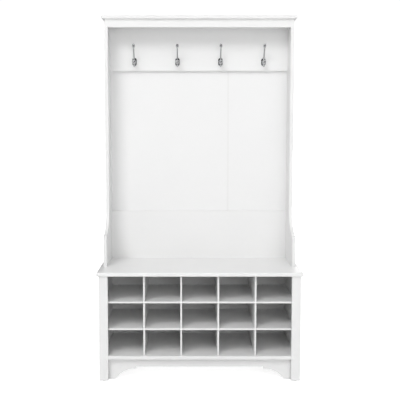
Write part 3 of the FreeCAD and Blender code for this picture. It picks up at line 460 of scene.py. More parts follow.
@dataclass
class SurfaceEffects:
    """Builds each shared effect once, as a node group."""

    slow_tone: Pattern = Pattern(2.2, 3.0, 0.75)
    fine_tone: Pattern = Pattern(60.0, 2.0, 0.25)
    tone_range: tuple[float, float] = (0.32, 0.68)
    wiped: Pattern = Pattern(7.0, 4.0)
    wiped_stretch: Triple = (1.0, 1.0, 0.35)
    wiped_turn: Triple = (0.0, 0.4, 0.3)
    wiped_range: tuple[float, float] = (0.38, 0.72)
    ripple: Pattern = Pattern(320.0, 1.0, 0.8)
    nib: Pattern = Pattern(1400.0, 0.0, 0.2)
    bands: Pattern = Pattern(90.0, 3.0, 0.7)
    fibres: Pattern = Pattern(900.0, 2.0, 0.3)
    grain_stretch: Triple = (1.0, 1.0, 0.06)
    grain_range: tuple[float, float] = (0.35, 0.65)
    lines: Pattern = Pattern(2500.0, 2.0)
    line_stretch: Triple = (1.0, 0.05, 1.0)
    line_range: tuple[float, float] = (0.3, 0.7)

    def __post_init__(self) -> None:
        """Build every group."""
        self.groups = {
            Effect.CLOUD: self.cloud(),
            Effect.SMUDGE: self.smudge(),
            Effect.PEEL: self.peel(),
            Effect.GRAIN: self.grain(),
            Effect.BRUSH: self.brush(),
        }

    @staticmethod
    def shell(
        effect: Effect, outputs: Iterable[str]
    ) -> tuple[NodeSheet, bpy.types.Node, bpy.types.Node]:
        """An empty group with a Vector and a Scale input.

        Args:
            effect: Which effect it holds.
            outputs: The names of its values.

        Returns:
            The group's sheet, its input node and its output node.
        """
        tree = bpy.data.node_groups.new(effect.value, "ShaderNodeTree")
        tree.interface.new_socket("Vector", in_out="INPUT", socket_type="NodeSocketVector")
        scale = tree.interface.new_socket("Scale", in_out="INPUT", socket_type="NodeSocketFloat")
        scale.default_value = 1.0
        for name in outputs:
            tree.interface.new_socket(name, in_out="OUTPUT", socket_type="NodeSocketFloat")
        sheet = NodeSheet(tree)
        return sheet, sheet.add("NodeGroupInput"), sheet.add("NodeGroupOutput")

    @staticmethod
    def scaled(sheet: NodeSheet, source: bpy.types.Node) -> bpy.types.NodeSocket:
        """The group's place, multiplied by its scale.

        Args:
            sheet: The group's sheet.
            source: The group's input node.

        Returns:
            The scaled place.
        """
        node = sheet.add("ShaderNodeVectorMath", operation="SCALE")
        sheet.wire(source.outputs["Vector"], node.inputs[0])
        sheet.wire(source.outputs["Scale"], node.inputs["Scale"])
        return node.outputs["Vector"]

    @staticmethod
    def stretched(
        sheet: NodeSheet, place: bpy.types.NodeSocket, scale: Triple, turn: Triple
    ) -> bpy.types.NodeSocket:
        """A place that is scaled and turned, so that a pattern runs long one way.

        Args:
            sheet: The group's sheet.
            place: The place.
            scale: Its scale on each axis.
            turn: Its turn about each axis, in radians.

        Returns:
            The new place.
        """
        node = sheet.add("ShaderNodeMapping")
        node.inputs["Scale"].default_value = scale
        node.inputs["Rotation"].default_value = turn
        sheet.wire(place, node.inputs["Vector"])
        return node.outputs["Vector"]

    @staticmethod
    def total(
        sheet: NodeSheet, place: bpy.types.NodeSocket, first: Pattern, second: Pattern
    ) -> bpy.types.NodeSocket:
        """The sum of two patterns, each times its share.

        Args:
            sheet: The group's sheet.
            place: Where they are read.
            first: A pattern.
            second: A pattern.

        Returns:
            The sum.
        """
        parts = []
        for pattern in (first, second):
            value = sheet.noise(place, pattern.scale, pattern.detail)
            parts.append(sheet.math("MULTIPLY", value, pattern.share))
        return sheet.math("ADD", *parts)

    def cloud(self) -> bpy.types.NodeTree:
        """Slow drifts of tone, with a finer mottle on top.

        Returns:
            The group.
        """
        sheet, source, target = self.shell(Effect.CLOUD, ["Mask"])
        both = self.total(sheet, self.scaled(sheet, source), self.slow_tone, self.fine_tone)
        sheet.wire(sheet.remap(both, *self.tone_range, 0.0, 1.0), target.inputs["Mask"])
        return sheet.tree

    def smudge(self) -> bpy.types.NodeTree:
        """Broad wiped patches where a surface has been handled.

        Returns:
            The group.
        """
        sheet, source, target = self.shell(Effect.SMUDGE, ["Mask"])
        place = self.scaled(sheet, source)
        place = self.stretched(sheet, place, self.wiped_stretch, self.wiped_turn)
        patch = sheet.noise(place, self.wiped.scale, self.wiped.detail)
        sheet.wire(sheet.remap(patch, *self.wiped_range, 0.0, 1.0), target.inputs["Mask"])
        return sheet.tree

    def peel(self) -> bpy.types.NodeTree:
        """The fine ripple that a sprayed or filmed coat dries with.

        Returns:
            The group.
        """
        sheet, source, target = self.shell(Effect.PEEL, ["Height"])
        both = self.total(sheet, self.scaled(sheet, source), self.ripple, self.nib)
        sheet.wire(both, target.inputs["Height"])
        return sheet.tree

    def grain(self) -> bpy.types.NodeTree:
        """Long growth bands and short fibres along Z.

        Returns:
            The group.
        """
        sheet, source, target = self.shell(Effect.GRAIN, ["Mask", "Height"])
        place = self.scaled(sheet, source)
        place = self.stretched(sheet, place, self.grain_stretch, (0.0, 0.0, 0.0))
        both = self.total(sheet, place, self.bands, self.fibres)
        fibres = sheet.noise(place, self.fibres.scale, self.fibres.detail)
        sheet.wire(sheet.remap(both, *self.grain_range, 0.0, 1.0), target.inputs["Mask"])
        sheet.wire(fibres, target.inputs["Height"])
        return sheet.tree

    def brush(self) -> bpy.types.NodeTree:
        """Fine drawn lines round a turned or rolled metal piece.

        Returns:
            The group.
        """
        sheet, source, target = self.shell(Effect.BRUSH, ["Mask", "Height"])
        place = self.scaled(sheet, source)
        place = self.stretched(sheet, place, self.line_stretch, (0.0, 0.0, 0.0))
        lines = sheet.noise(place, self.lines.scale, self.lines.detail)
        sheet.wire(sheet.remap(lines, *self.line_range, 0.0, 1.0), target.inputs["Mask"])
        sheet.wire(lines, target.inputs["Height"])
        return sheet.tree


@dataclass(frozen=True)
class Finish:
    """A surface finish: two near tones, a roughness range and a fine relief."""

    name: str
    slot: Slot
    tone: Colour
    other_tone: Colour
    roughness: tuple[float, float]
    relief: Effect = Effect.PEEL
    relief_height: float = 0.03 * MM
    relief_scale: float = 1.0
    tone_scale: float = 1.0
    metallic: float = 0.0
    specular: float = 0.5
    waviness: float = 0.0
    waves_per_metre: float = 3.0

    def make(self, effects: SurfaceEffects) -> bpy.types.Material:
        """Build the material.

        Args:
            effects: The shared groups.

        Returns:
            The material.
        """
        material = bpy.data.materials.new(self.name)
        material.use_nodes = True
        material.node_tree.nodes.clear()
        sheet = NodeSheet(material.node_tree)
        output = sheet.add("ShaderNodeOutputMaterial")
        shader = sheet.add("ShaderNodeBsdfPrincipled")
        sheet.wire(shader.outputs["BSDF"], output.inputs["Surface"])
        shader.inputs["Metallic"].default_value = self.metallic
        shader.inputs["Specular IOR Level"].default_value = self.specular
        place = sheet.add("ShaderNodeTexCoord").outputs["Object"]
        # A coat drifts in tone, and timber or drawn metal follows its own relief.
        tone_effect = Effect.CLOUD if self.relief is Effect.PEEL else self.relief
        tone = self.effect(sheet, effects, tone_effect, place, self.tone_scale)
        colour = sheet.blend(tone.outputs["Mask"], self.tone, self.other_tone)
        sheet.wire(colour, shader.inputs["Base Color"])
        smudge = self.effect(sheet, effects, Effect.SMUDGE, place, 1.0)
        rough = sheet.remap(smudge.outputs["Mask"], 0.0, 1.0, *self.roughness)
        sheet.wire(rough, shader.inputs["Roughness"])
        relief = self.effect(sheet, effects, self.relief, place, self.relief_scale)
        height = sheet.math("MULTIPLY", relief.outputs["Height"], self.relief_height)
        if self.waviness > 0:
            wave = sheet.noise(place, self.waves_per_metre, 1.0)
            height = sheet.math("ADD", height, sheet.math("MULTIPLY", wave, self.waviness))
        bump = sheet.add("ShaderNodeBump")
        bump.inputs["Strength"].default_value = 1.0
        bump.inputs["Distance"].default_value = 1.0
        sheet.wire(height, bump.inputs["Height"])
        sheet.wire(bump.outputs["Normal"], shader.inputs["Normal"])
        return material

    @staticmethod
    def effect(
        sheet: NodeSheet,
        effects: SurfaceEffects,
        which: Effect,
        place: bpy.types.NodeSocket,
        scale: float,
    ) -> bpy.types.Node:
        """Place a shared group in the material.

        Args:
            sheet: The material's sheet.
            effects: The shared groups.
            which: The effect.
            place: The coordinates output.
            scale: The group's scale.

        Returns:
            The group node.
        """
        node = sheet.add("ShaderNodeGroup", node_tree=effects.groups[which])
        sheet.wire(place, node.inputs["Vector"])
        node.inputs["Scale"].default_value = scale
        return node


FINISHES = (
    Finish(
        name="white_satin_lacquer",
        slot=Slot.BOARD,
        tone=(0.825, 0.825, 0.822),
        other_tone=(0.80, 0.801, 0.80),
        roughness=(0.34, 0.44),
    ),
    Finish(
        name="white_back_film",
        slot=Slot.BACK,
        tone=(0.83, 0.83, 0.828),
        other_tone=(0.81, 0.811, 0.812),
        roughness=(0.44, 0.55),
        relief_height=0.04 * MM,
        relief_scale=0.7,
        specular=0.4,
        waviness=1.5 * MM,
    ),
    Finish(
        name="polished_chrome_plate",
        slot=Slot.CHROME,
        tone=(0.60, 0.605, 0.615),
        other_tone=(0.53, 0.535, 0.545),
        roughness=(0.035, 0.09),
        relief_height=0.004 * MM,
        tone_scale=8.0,
        metallic=1.0,
    ),
    Finish(
        name="zinc_plated_steel",
        slot=Slot.ZINC,
        tone=(0.60, 0.61, 0.62),
        other_tone=(0.50, 0.51, 0.53),
        roughness=(0.28, 0.42),
        relief=Effect.BRUSH,
        relief_height=0.01 * MM,
        metallic=1.0,
    ),
    Finish(
        name="bright_nail_steel",
        slot=Slot.NAIL,
        tone=(0.56, 0.56, 0.56),
        other_tone=(0.46, 0.46, 0.47),
        roughness=(0.3, 0.5),
        relief=Effect.BRUSH,
        relief_height=0.01 * MM,
        metallic=1.0,
    ),
    Finish(
        name="plain_beech",
        slot=Slot.DOWEL,
        tone=(0.62, 0.42, 0.24),
        other_tone=(0.50, 0.32, 0.17),
        roughness=(0.5, 0.65),
        relief=Effect.GRAIN,
        relief_height=0.05 * MM,
    ),
    Finish(
        name="bare_softwood",
        slot=Slot.BLOCK,
        tone=(0.66, 0.50, 0.31),
        other_tone=(0.55, 0.38, 0.21),
        roughness=(0.55, 0.7),
        relief=Effect.GRAIN,
        relief_height=0.08 * MM,
        tone_scale=0.6,
    ),
    Finish(
        name="white_moulded_plastic",
        slot=Slot.PLASTIC,
        tone=(0.80, 0.80, 0.795),
        other_tone=(0.775, 0.775, 0.772),
        roughness=(0.38, 0.48),
        relief_height=0.02 * MM,
        relief_scale=1.6,
    ),
    Finish(
        name="pale_glide_plastic",
        slot=Slot.GLIDE,
        tone=(0.66, 0.66, 0.64),
        other_tone=(0.60, 0.60, 0.585),
        roughness=(0.45, 0.6),
        relief_scale=1.2,
    ),
)


class Paintshop:
    """Makes every finish once and hands it out by material slot."""

    def __init__(self) -> None:
        """Build the shared effects and the finishes."""
        effects = SurfaceEffects()
        self.materials = {finish.slot: finish.make(effects) for finish in FINISHES}

    def coat(self, piece: bpy.types.Object, slot: Slot) -> None:
        """Give a new piece its finish.

        Args:
            piece: The piece.
            slot: The record's slot.
        """
        piece.data.materials.clear()
        piece.data.materials.append(self.materials[slot])

    def coat_boards(self) -> None:
        """Give every carried-over solid the finish of its own slot."""
        by_node = {row["node"]: row["material_slot"] for row in frame["record"]["subparts"]}
        for name, piece in frame["nodes"].items():
            material = self.materials[Slot(by_node[name])]
            for holder in piece.material_slots:
                holder.material = material
        log.info("finished %d boards and fittings", len(frame["nodes"]))


# ---------------------------------------------------------------- hardware


@dataclass
class CoatHooks:
    """The four cast chrome hooks: plate, tall upper arm and curled lower arm."""

    plate_width: float = 22 * MM
    plate_height: float = 42 * MM
    plate_thickness: float = 4 * MM
    plate_round: float = 1.6 * MM
    plate_sides: int = 48
    rim_steps: int = 5
    rim_profile: float = 0.6
    seat_sides: int = 40
    seat_depth: float = 2.2 * MM
    seat_sunk: float = 1.05 * MM
    seat_small: float = 0.55
    arm_radius: float = 4 * MM
    root_radius: float = 6.6 * MM
    arm_start: float = 1 * MM
    neck: float = 8 * MM
    upper_collar: tuple[tuple[float, float], ...] = (
        (2.6 * MM, 6.6 * MM),
        (0.9 * MM, 6.204 * MM),
        (1.2 * MM, 4.88 * MM),
        (4.3 * MM, 4 * MM),
    )
    upper_taper: tuple[tuple[float, float], ...] = ((0.3, 0.94), (0.35, 0.86), (0.35, 0.8))
    upper_steps: int = 10
    upper_bend: float = 20 * MM
    upper_reach: float = 64 * MM
    upper_rise: float = 74 * MM
    upper_tip: tuple[float, float] = (12 * MM, 7.5 * MM)
    lower_root: float = 7 * MM
    lower_bend: float = 10 * MM
    curl_out: float = 25 * MM
    curl_down: float = 8 * MM
    lower_tip: float = 10 * MM
    curl_short: float = math.radians(12)
    lower_root_share: float = 0.9
    collar_bend: tuple[float, int] = (0.25, 3)
    throat_bend: tuple[float, int] = (0.75, 7)
    curl_steps: int = 18
    waist: float = 0.01 * MM
    bulb_rings: int = 12
    smoothing: int = 1
    screw_offset: float = 14.5 * MM
    screw_radius: float = 3.4 * MM
    smooth_angle: float = math.radians(35)
    nodes: tuple[str, ...] = ("coat_hook_1", "coat_hook_2", "coat_hook_3", "coat_hook_4")

    def plate(self) -> bpy.types.Object:
        """The base plate, with round ends, a rolled rim and two sunk screw seats.

        Returns:
            The plate, with the middle of its rear face at the origin.
        """
        Workbench.clear()
        half = self.plate_width / 2
        bpy.ops.mesh.primitive_cylinder_add(
            vertices=self.plate_sides,
            radius=half,
            depth=self.plate_thickness,
            location=(0, -self.plate_thickness / 2, 0),
            rotation=(QUARTER_TURN, 0, 0),
        )
        piece = bpy.context.view_layer.objects.active
        piece.name = "hook_plate"
        Workbench.settle(piece)
        Workbench.edit()
        bpy.ops.mesh.bisect(plane_co=(0, 0, 0), plane_no=(0, 0, 1))
        stretch = self.plate_height / 2 - half
        for way in (1, -1):
            Workbench.pick(Part.VERT, lambda spot, _, way=way: spot.z * way > OFF_PLANE)
            bpy.ops.transform.translate(value=(0, 0, stretch * way))
        Workbench.pick(Part.FACE, lambda _, normal: normal.y < -FACING)
        bpy.ops.mesh.region_to_loop()
        bpy.ops.mesh.bevel(
            offset=self.plate_round, segments=self.rim_steps, profile=self.rim_profile
        )
        Workbench.done()
        for way in (1, -1):
            Workbench.clear()
            bpy.ops.mesh.primitive_cone_add(
                vertices=self.seat_sides,
                radius1=self.screw_radius * self.seat_small,
                radius2=self.screw_radius,
                depth=self.seat_depth,
                location=(0, self.seat_sunk - self.plate_thickness, self.screw_offset * way),
                rotation=(QUARTER_TURN, 0, 0),
            )
            seat = bpy.context.view_layer.objects.active
            Workbench.settle(seat)
            Workbench.boolean(piece, seat, "DIFFERENCE")
        return piece

    def upper_arm(self) -> bpy.types.Object:
        """The tall arm: a flared root, a bend, a slim straight run and an egg-shaped end.

        Returns:
            The arm's object.
        """
        up, out = self.upper_rise - self.upper_bend, self.upper_reach - self.neck
        angle = math.atan2(up, out) + math.asin(self.upper_bend / math.hypot(up, out))
        start = Vector((0, -self.arm_start, 0))
        rod = Rod("upper_arm", start, Vector((0, -1, 0)), self.root_radius).start()
        for length, radius in self.upper_collar:
            rod.go(length, radius)
        rod.bend(rod.centre + Vector((0, 0, self.upper_bend)), -angle, self.upper_steps)
        tip = Vector((0, -self.upper_reach, self.upper_rise))
        half_length, half_width = self.upper_tip
        slim = self.arm_radius * self.upper_taper[-1][1]
        run = (tip - rod.centre).length
        run -= half_length * math.cos(math.asin(slim / half_width))
        rod.heading = (tip - rod.centre).normalized()
        for share, radius in self.upper_taper:
            rod.go(run * share, self.arm_radius * radius)
        rod.bulb(half_length, half_width, self.bulb_rings)
        return rod.finish(self.smoothing)

    def lower_arm(self) -> bpy.types.Object:
        """The curled arm: a flared root, a bend down, a deep curl and a ball.

        Returns:
            The arm's object.
        """
        drop = self.lower_root + self.lower_bend - self.curl_down
        down = math.atan2(self.curl_out, drop)
        start = Vector((0, -self.arm_start, -self.lower_root))
        root = self.root_radius * self.lower_root_share
        rod = Rod("lower_arm", start, Vector((0, -1, 0)), root).start()
        rod.go(self.arm_start)
        throat = rod.centre - Vector((0, 0, self.lower_bend))
        share, steps = self.collar_bend
        rod.bend(throat, down * share, steps)
        rod.go(self.waist, self.arm_radius)
        share, steps = self.throat_bend
        rod.bend(throat, down * share, steps)
        curl = rod.centre + (rod.centre - throat).normalized() * self.curl_radius()
        rod.bend(curl, self.curl_short - QUARTER_TURN - down, self.curl_steps)
        rod.bulb(self.lower_tip, self.lower_tip, self.bulb_rings)
        return rod.finish(self.smoothing)

    def curl_radius(self) -> float:
        """The radius of the curl's centre line."""
        drop = self.lower_root + self.lower_bend - self.curl_down
        return math.hypot(self.curl_out, drop) - self.lower_bend

    def model(self) -> bpy.types.Object:
        """One hook about the middle of its plate's rear face.

        Returns:
            The hook.
        """
        hook = self.plate()
        Workbench.boolean(hook, self.upper_arm(), "UNION")
        Workbench.boolean(hook, self.lower_arm(), "UNION")
        Workbench.tidy(hook, self.smooth_angle)
        return hook

    def build(self, shop: Paintshop) -> None:
        """Model one hook and hang a copy at each of the four places.

        Args:
            shop: Where the finishes come from.
        """
        model = self.model()
        for number, node in enumerate(self.nodes, 1):
            place = Matrix.Translation(self.plate_spot(node))
            piece = Workbench.copy_to(model, f"chrome_hook_{number}", place)
            shop.coat(piece, Slot.CHROME)
            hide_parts(node)
            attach(piece, BODY)
        bpy.data.objects.remove(model)
        log.info("hung %d coat hooks", len(self.nodes))

    def plate_spot(self, node: str) -> Vector:
        """Where the middle of a hook's plate touches the rail.

        Args:
            node: The hook's node.

        Returns:
            The point.
        """
        low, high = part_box(node)
        drop = self.curl_down + self.curl_radius() + self.arm_radius
        return Vector(((low.x + high.x) / 2, high.y, low.z + drop))


@dataclass
class HookScrews:
    """The eight oval-head screws that hold the hooks, with cross-shaped drives."""

    head_radius: float = 3.3 * MM
    head_depth: float = 2 * MM
    head_sides: int = 40
    neck_share: float = 0.5
    shank_length: float = 14 * MM
    shank_taper: float = 0.96
    dome: float = 0.7 * MM
    dome_step: float = 0.33
    dome_shares: tuple[float, ...] = (0.82, 0.6, 0.3)
    drive_width: float = 0.9 * MM
    drive_reach: float = 3.6 * MM
    drive_depth: float = 1.5 * MM
    drive_taper: Triple = (0.45, 1.0, 0.6)
    drive_lift: float = 0.5
    turn_between: float = 0.7
    smooth_angle: float = math.radians(40)

    def model(self) -> bpy.types.Object:
        """One screw whose head's rim is at the origin, with its shank along +Y.

        Returns:
            The screw.
        """
        Workbench.clear()
        bpy.ops.mesh.primitive_circle_add(
            vertices=self.head_sides,
            radius=self.head_radius,
            fill_type="NGON",
            rotation=(QUARTER_TURN, 0, 0),
        )
        piece = bpy.context.view_layer.objects.active
        piece.name = "hook_screw"
        Workbench.settle(piece)
        Workbench.edit()
        runs = ((self.head_depth, self.neck_share), (self.shank_length, self.shank_taper))
        for length, share in runs:
            bpy.ops.mesh.extrude_region_move(TRANSFORM_OT_translate={"value": (0, length, 0)})
            bpy.ops.transform.resize(value=(share, 1, share), center_override=(0, 0, 0))
        Workbench.pick(Part.VERT, lambda spot, _: spot.y < OFF_PLANE)
        bpy.ops.mesh.edge_face_add()
        step = (0, -self.dome * self.dome_step, 0)
        for share in self.dome_shares:
            bpy.ops.mesh.extrude_region_move(TRANSFORM_OT_translate={"value": step})
            bpy.ops.transform.resize(value=(share, 1, share), center_override=(0, 0, 0))
        bpy.ops.mesh.select_all(action="SELECT")
        bpy.ops.mesh.normals_make_consistent(inside=False)
        Workbench.done()
        for turn in (0.0, QUARTER_TURN):
            Workbench.boolean(piece, self.drive_blade(turn), "DIFFERENCE")
        Workbench.tidy(piece, self.smooth_angle)
        return piece

    def drive_blade(self, turn: float) -> bpy.types.Object:
        """One tapered blade of the cross-shaped drive, as a cutting tool.

        Args:
            turn: Its angle about the screw's axis.

        Returns:
            The tool.
        """
        Workbench.clear()
        bpy.ops.mesh.primitive_cube_add(size=1, location=(0, 0, 0))
        blade = bpy.context.view_layer.objects.active
        blade.scale = (self.drive_reach, self.drive_depth * 2, self.drive_width)
        Workbench.settle(blade)
        Workbench.edit()
        Workbench.pick(Part.FACE, lambda _, normal: normal.y > FACING)
        bpy.ops.transform.resize(value=self.drive_taper, center_override=(0, 0, 0))
        Workbench.done()
        blade.data.transform(Matrix.Rotation(turn, 4, "Y"))
        blade.data.transform(Matrix.Translation((0, -self.dome * self.drive_lift, 0)))
        return blade

    def build(self, shop: Paintshop, hooks: CoatHooks) -> None:
        """Drive two screws through each hook's plate.

        Args:
            shop: Where the finishes come from.
            hooks: The hooks that they hold.
        """
        model = self.model()
        number = 0
        for node in hooks.nodes:
            for way in (1, -1):
                number += 1
                shift = Vector((0, -hooks.plate_thickness, hooks.screw_offset * way))
                place = Matrix.Translation(hooks.plate_spot(node) + shift)
                spin = Matrix.Rotation(number * self.turn_between, 4, "Y")
                piece = Workbench.copy_to(model, f"hook_screw_{number}", place @ spin)
                shop.coat(piece, Slot.CHROME)
                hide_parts("hook_screws")
                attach(piece, BODY)
        bpy.data.objects.remove(model)
        log.info("drove %d hook screws", number)


@dataclass
class RoundFittings:
    """Small turned fittings that repeat: screw cover caps and floor glides."""

    cap_node: str = "cover_caps"
    glide_node: str = "floor_glides"
    cap_radius: float = 6.5 * MM
    cap_height: float = 0.8 * MM
    glide_radius: float = 7 * MM
    glide_height: float = 3 * MM
    cap_rim: float = 0.48 * MM
    glide_rim: float = 1.35 * MM
    sides: int = 48
    rim_steps: int = 4
    dish_inset: float = 0.35
    dish_depth: float = 0.06
    smooth_angle: float = math.radians(40)

    def button(self, name: str, radius: float, height: float, rim: float) -> bpy.types.Object:
        """A low round button on the plane Z = 0, with a rolled rim and a dished top.

        Args:
            name: The piece's name.
            radius: Its radius.
            height: Its height along +Z.
            rim: The size of the rolled rim.

        Returns:
            The button.
        """
        Workbench.clear()
        bpy.ops.mesh.primitive_cylinder_add(
            vertices=self.sides, radius=radius, depth=height, location=(0, 0, height / 2)
        )
        piece = bpy.context.view_layer.objects.active
        piece.name = name
        Workbench.settle(piece)
        Workbench.edit()
        Workbench.pick(Part.FACE, lambda _, normal: normal.z > FACING)
        bpy.ops.mesh.region_to_loop()
        bpy.ops.mesh.bevel(offset=rim, segments=self.rim_steps, profile=0.5)
        Workbench.pick(Part.FACE, lambda _, normal: normal.z > FLAT)
        bpy.ops.mesh.inset(thickness=radius * self.dish_inset)
        bpy.ops.transform.translate(value=(0, 0, -height * self.dish_depth))
        Workbench.done()
        Workbench.tidy(piece, self.smooth_angle)
        return piece

    def islands(self, node: str) -> list[tuple[Vector, Vector]]:
        """The lowest and highest corner of each separate solid of a group.

        Args:
            node: The group's node.

        Returns:
            One pair for each solid.
        """
        source = frame["nodes"][node]
        mesh = bmesh.new()
        mesh.from_mesh(source.data)
        bmesh.ops.remove_doubles(mesh, verts=mesh.verts, dist=MERGE_DISTANCE)
        mesh.verts.index_update()
        seen: set[int] = set()
        found = []
        for seed in mesh.verts:
            if seed.index in seen:
                continue
            stack, members = [seed], []
            seen.add(seed.index)
            while stack:
                vert = stack.pop()
                members.append(vert.co.copy())
                for edge in vert.link_edges:
                    other = edge.other_vert(vert)
                    if other.index not in seen:
                        seen.add(other.index)
                        stack.append(other)
            low = Vector([min(spot[axis] for spot in members) for axis in range(3)])
            high = Vector([max(spot[axis] for spot in members) for axis in range(3)])
            found.append((low, high))
        mesh.free()
        return sorted(found, key=lambda pair: tuple(round(value, 4) for value in pair[0]))

    def build(self, shop: Paintshop) -> None:
        """Put a cap over each sunk screw and a glide under each foot.

        Args:
            shop: Where the finishes come from.
        """
        cap = self.button("cover_cap", self.cap_radius, self.cap_height, self.cap_rim)
        for number, (low, high) in enumerate(self.islands(self.cap_node), 1):
            way = 1 if low.x > 0 else -1
            face = low.x if way > 0 else high.x
            turn = Matrix.Rotation(QUARTER_TURN * way, 4, "Y")
            place = Matrix.Translation((face, (low.y + high.y) / 2, (low.z + high.z) / 2)) @ turn
            piece = Workbench.copy_to(cap, f"cover_cap_{number}", place)
            self.fit(piece, shop, Slot.PLASTIC, self.cap_node)
        bpy.data.objects.remove(cap)
        glide = self.button("glide", self.glide_radius, self.glide_height, self.glide_rim)
        for number, (low, high) in enumerate(self.islands(self.glide_node), 1):
            turn = Matrix.Rotation(HALF_TURN, 4, "X")
            place = Matrix.Translation(((low.x + high.x) / 2, (low.y + high.y) / 2, high.z)) @ turn
            piece = Workbench.copy_to(glide, f"foot_glide_{number}", place)
            self.fit(piece, shop, Slot.GLIDE, self.glide_node)
        bpy.data.objects.remove(glide)
        log.info("fitted the cover caps and the floor glides")

    @staticmethod
    def fit(piece: bpy.types.Object, shop: Paintshop, slot: Slot, node: str) -> None:
        """Finish a small piece and let it stand for its node.

        Args:
            piece: The piece.
            shop: Where the finishes come from.
            slot: The record's slot.
            node: The node that it replaces.
        """
        shop.coat(piece, slot)
        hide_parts(node)
        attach(piece, BODY)


# ---------------------------------------------------------------- floor, light and camera


@dataclass(frozen=True)
class Softbox:
    """One soft studio light, aimed at a point and seen in reflections or not."""

    name: str
    place: Triple
    width: float
    height: float
    power: float
    mirrored: bool = True
    aim: Triple = (0.0, 0.0, 0.9)

    def build(self) -> None:
        """Add the light."""
        Workbench.clear()
        bpy.ops.object.light_add(type="AREA", location=self.place)
        lamp = bpy.context.view_layer.objects.active
        lamp.name = self.name
        lamp.data.shape = "RECTANGLE"
        lamp.data.size = self.width
        lamp.data.size_y = self.height
        lamp.data.energy = self.power
        lamp.visible_glossy = self.mirrored
        way = Vector(self.aim) - Vector(self.place)
        lamp.rotation_euler = way.to_track_quat("-Z", "Y").to_euler()


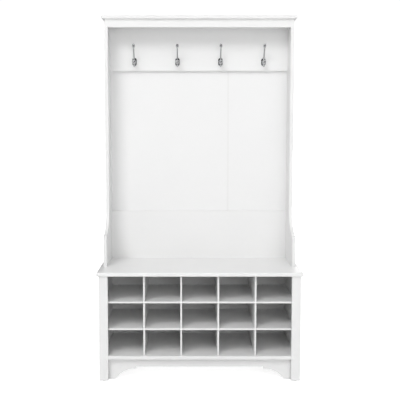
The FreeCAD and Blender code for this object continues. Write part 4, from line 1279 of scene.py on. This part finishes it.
@dataclass
class Studio:
    """The plain floor, the soft light, the surroundings and the camera."""

    floor_half: float = 30.0
    floor_tones: tuple[Colour, Colour] = ((0.90, 0.90, 0.90), (0.92, 0.92, 0.92))
    floor_mottle: Pattern = Pattern(3.0, 3.0)
    floor_roughness: float = 0.85
    floor_specular: float = 0.1
    floor_glow: float = 0.8
    # the share of the floor's colour that glossy rays see: a painted darker reflection in the
    # chrome
    floor_reflection_dimming: float = 0.55
    room_mirrored: float = 0.1
    camera_place: Triple = (-0.0573, -3.5701, 1.2185)
    camera_pitch: float = math.radians(4.856)
    focal_length_frames: float = 730.68 / FRAME_SIDE
    camera_shift: tuple[float, float] = (0.0309, -0.035)
    camera_range: float = 200.0
    backdrop: float = 1.05
    zenith: float = 0.7
    horizon: float = 0.02
    horizon_height: float = -0.1
    lights: tuple[Softbox, ...] = (
        Softbox("key_light", (-3.2, -6.5, 6.5), 3.5, 3.5, 335.0),
        Softbox("front_light", (0.8, -6.0, 2.0), 3.0, 2.5, 80.0, mirrored=False),
        Softbox("right_light", (2.6, -3.2, 5.0), 2.5, 2.5, 34.0),
        Softbox("rear_light", (2.2, 5.5, 3.0), 3.0, 2.5, 90.0),
    )

    def floor(self) -> None:
        """A wide pale floor at Z = 0, painted darker where it is seen in reflections."""
        Workbench.clear()
        bpy.ops.mesh.primitive_plane_add(size=self.floor_half * 2, location=(0, 0, 0))
        floor = bpy.context.view_layer.objects.active
        floor.name = "floor"
        material = bpy.data.materials.new("pale_floor")
        material.use_nodes = True
        shader = material.node_tree.nodes["Principled BSDF"]
        sheet = NodeSheet(material.node_tree)
        place = sheet.add("ShaderNodeTexCoord").outputs["Object"]
        mask = sheet.noise(place, self.floor_mottle.scale, self.floor_mottle.detail)
        ray = sheet.add("ShaderNodeLightPath")
        dim = sheet.add("ShaderNodeVectorMath", operation="SCALE")
        sheet.wire(sheet.blend(mask, *self.floor_tones), dim.inputs[0])
        # Painted reflection: glossy rays see the floor's colour dimmed, so the chrome mirrors a
        # darker floor than the eye sees.
        share = sheet.remap(ray.outputs["Is Glossy Ray"], 0.0, 1.0, 1.0, self.floor_reflection_dimming)
        sheet.wire(share, dim.inputs["Scale"])
        sheet.wire(dim.outputs["Vector"], shader.inputs["Base Color"])
        shader.inputs["Roughness"].default_value = self.floor_roughness
        shader.inputs["Specular IOR Level"].default_value = self.floor_specular
        shader.inputs["Emission Color"].default_value = WHITE
        glow = sheet.math("MULTIPLY", ray.outputs["Is Camera Ray"], self.floor_glow)
        sheet.wire(glow, shader.inputs["Emission Strength"])
        floor.data.materials.append(material)

    def surroundings(self) -> None:
        """A white backdrop for the eye, and a dimmer room for light and reflections."""
        world = bpy.data.worlds.new("studio")
        bpy.context.scene.world = world
        world.use_nodes = True
        world.node_tree.nodes.clear()
        sheet = NodeSheet(world.node_tree)
        place = sheet.add("ShaderNodeTexCoord").outputs["Generated"]
        split = sheet.add("ShaderNodeSeparateXYZ")
        sheet.wire(place, split.inputs[0])
        height = split.outputs["Z"]
        level = sheet.remap(height, self.horizon_height, 1.0, self.horizon, self.zenith)
        ray = sheet.add("ShaderNodeLightPath")
        dim = sheet.remap(ray.outputs["Is Glossy Ray"], 0.0, 1.0, 1.0, self.room_mirrored)
        room = sheet.add("ShaderNodeBackground")
        sheet.wire(sheet.math("MULTIPLY", level, dim), room.inputs["Strength"])
        white = sheet.add("ShaderNodeBackground")
        white.inputs["Strength"].default_value = self.backdrop
        for background in (room, white):
            background.inputs["Color"].default_value = WHITE
        mix = sheet.add("ShaderNodeMixShader")
        sheet.wire(ray.outputs["Is Camera Ray"], mix.inputs["Fac"])
        sheet.wire(room.outputs[0], mix.inputs[1])
        sheet.wire(white.outputs[0], mix.inputs[2])
        output = sheet.add("ShaderNodeOutputWorld")
        sheet.wire(mix.outputs[0], output.inputs["Surface"])

    def camera(self) -> None:
        """The camera, a little above the middle and looking slightly down."""
        Workbench.clear()
        bpy.ops.object.camera_add(
            location=self.camera_place, rotation=(QUARTER_TURN - self.camera_pitch, 0, 0)
        )
        camera = bpy.context.view_layer.objects.active
        camera.name = "camera"
        camera.data.sensor_width = SENSOR
        camera.data.lens = self.focal_length_frames * SENSOR
        camera.data.shift_x, camera.data.shift_y = self.camera_shift
        camera.data.clip_end = self.camera_range
        bpy.context.scene.camera = camera

    def build(self) -> None:
        """Set up the whole studio."""
        self.floor()
        self.surroundings()
        for light in self.lights:
            light.build()
        self.camera()
        bpy.context.scene.view_settings.view_transform = "Standard"
        bpy.context.scene.view_settings.look = "None"
        log.info("set up the floor, %d lights and the camera", len(self.lights))


def main() -> None:
    """Build the hall tree's looks in order."""
    logging.basicConfig(level=logging.INFO, format="%(name)s: %(message)s")
    shop = Paintshop()
    shop.coat_boards()
    hooks = CoatHooks()
    hooks.build(shop)
    HookScrews().build(shop, hooks)
    RoundFittings().build(shop)
    Studio().build()


if __name__ == "__main__":
    main()
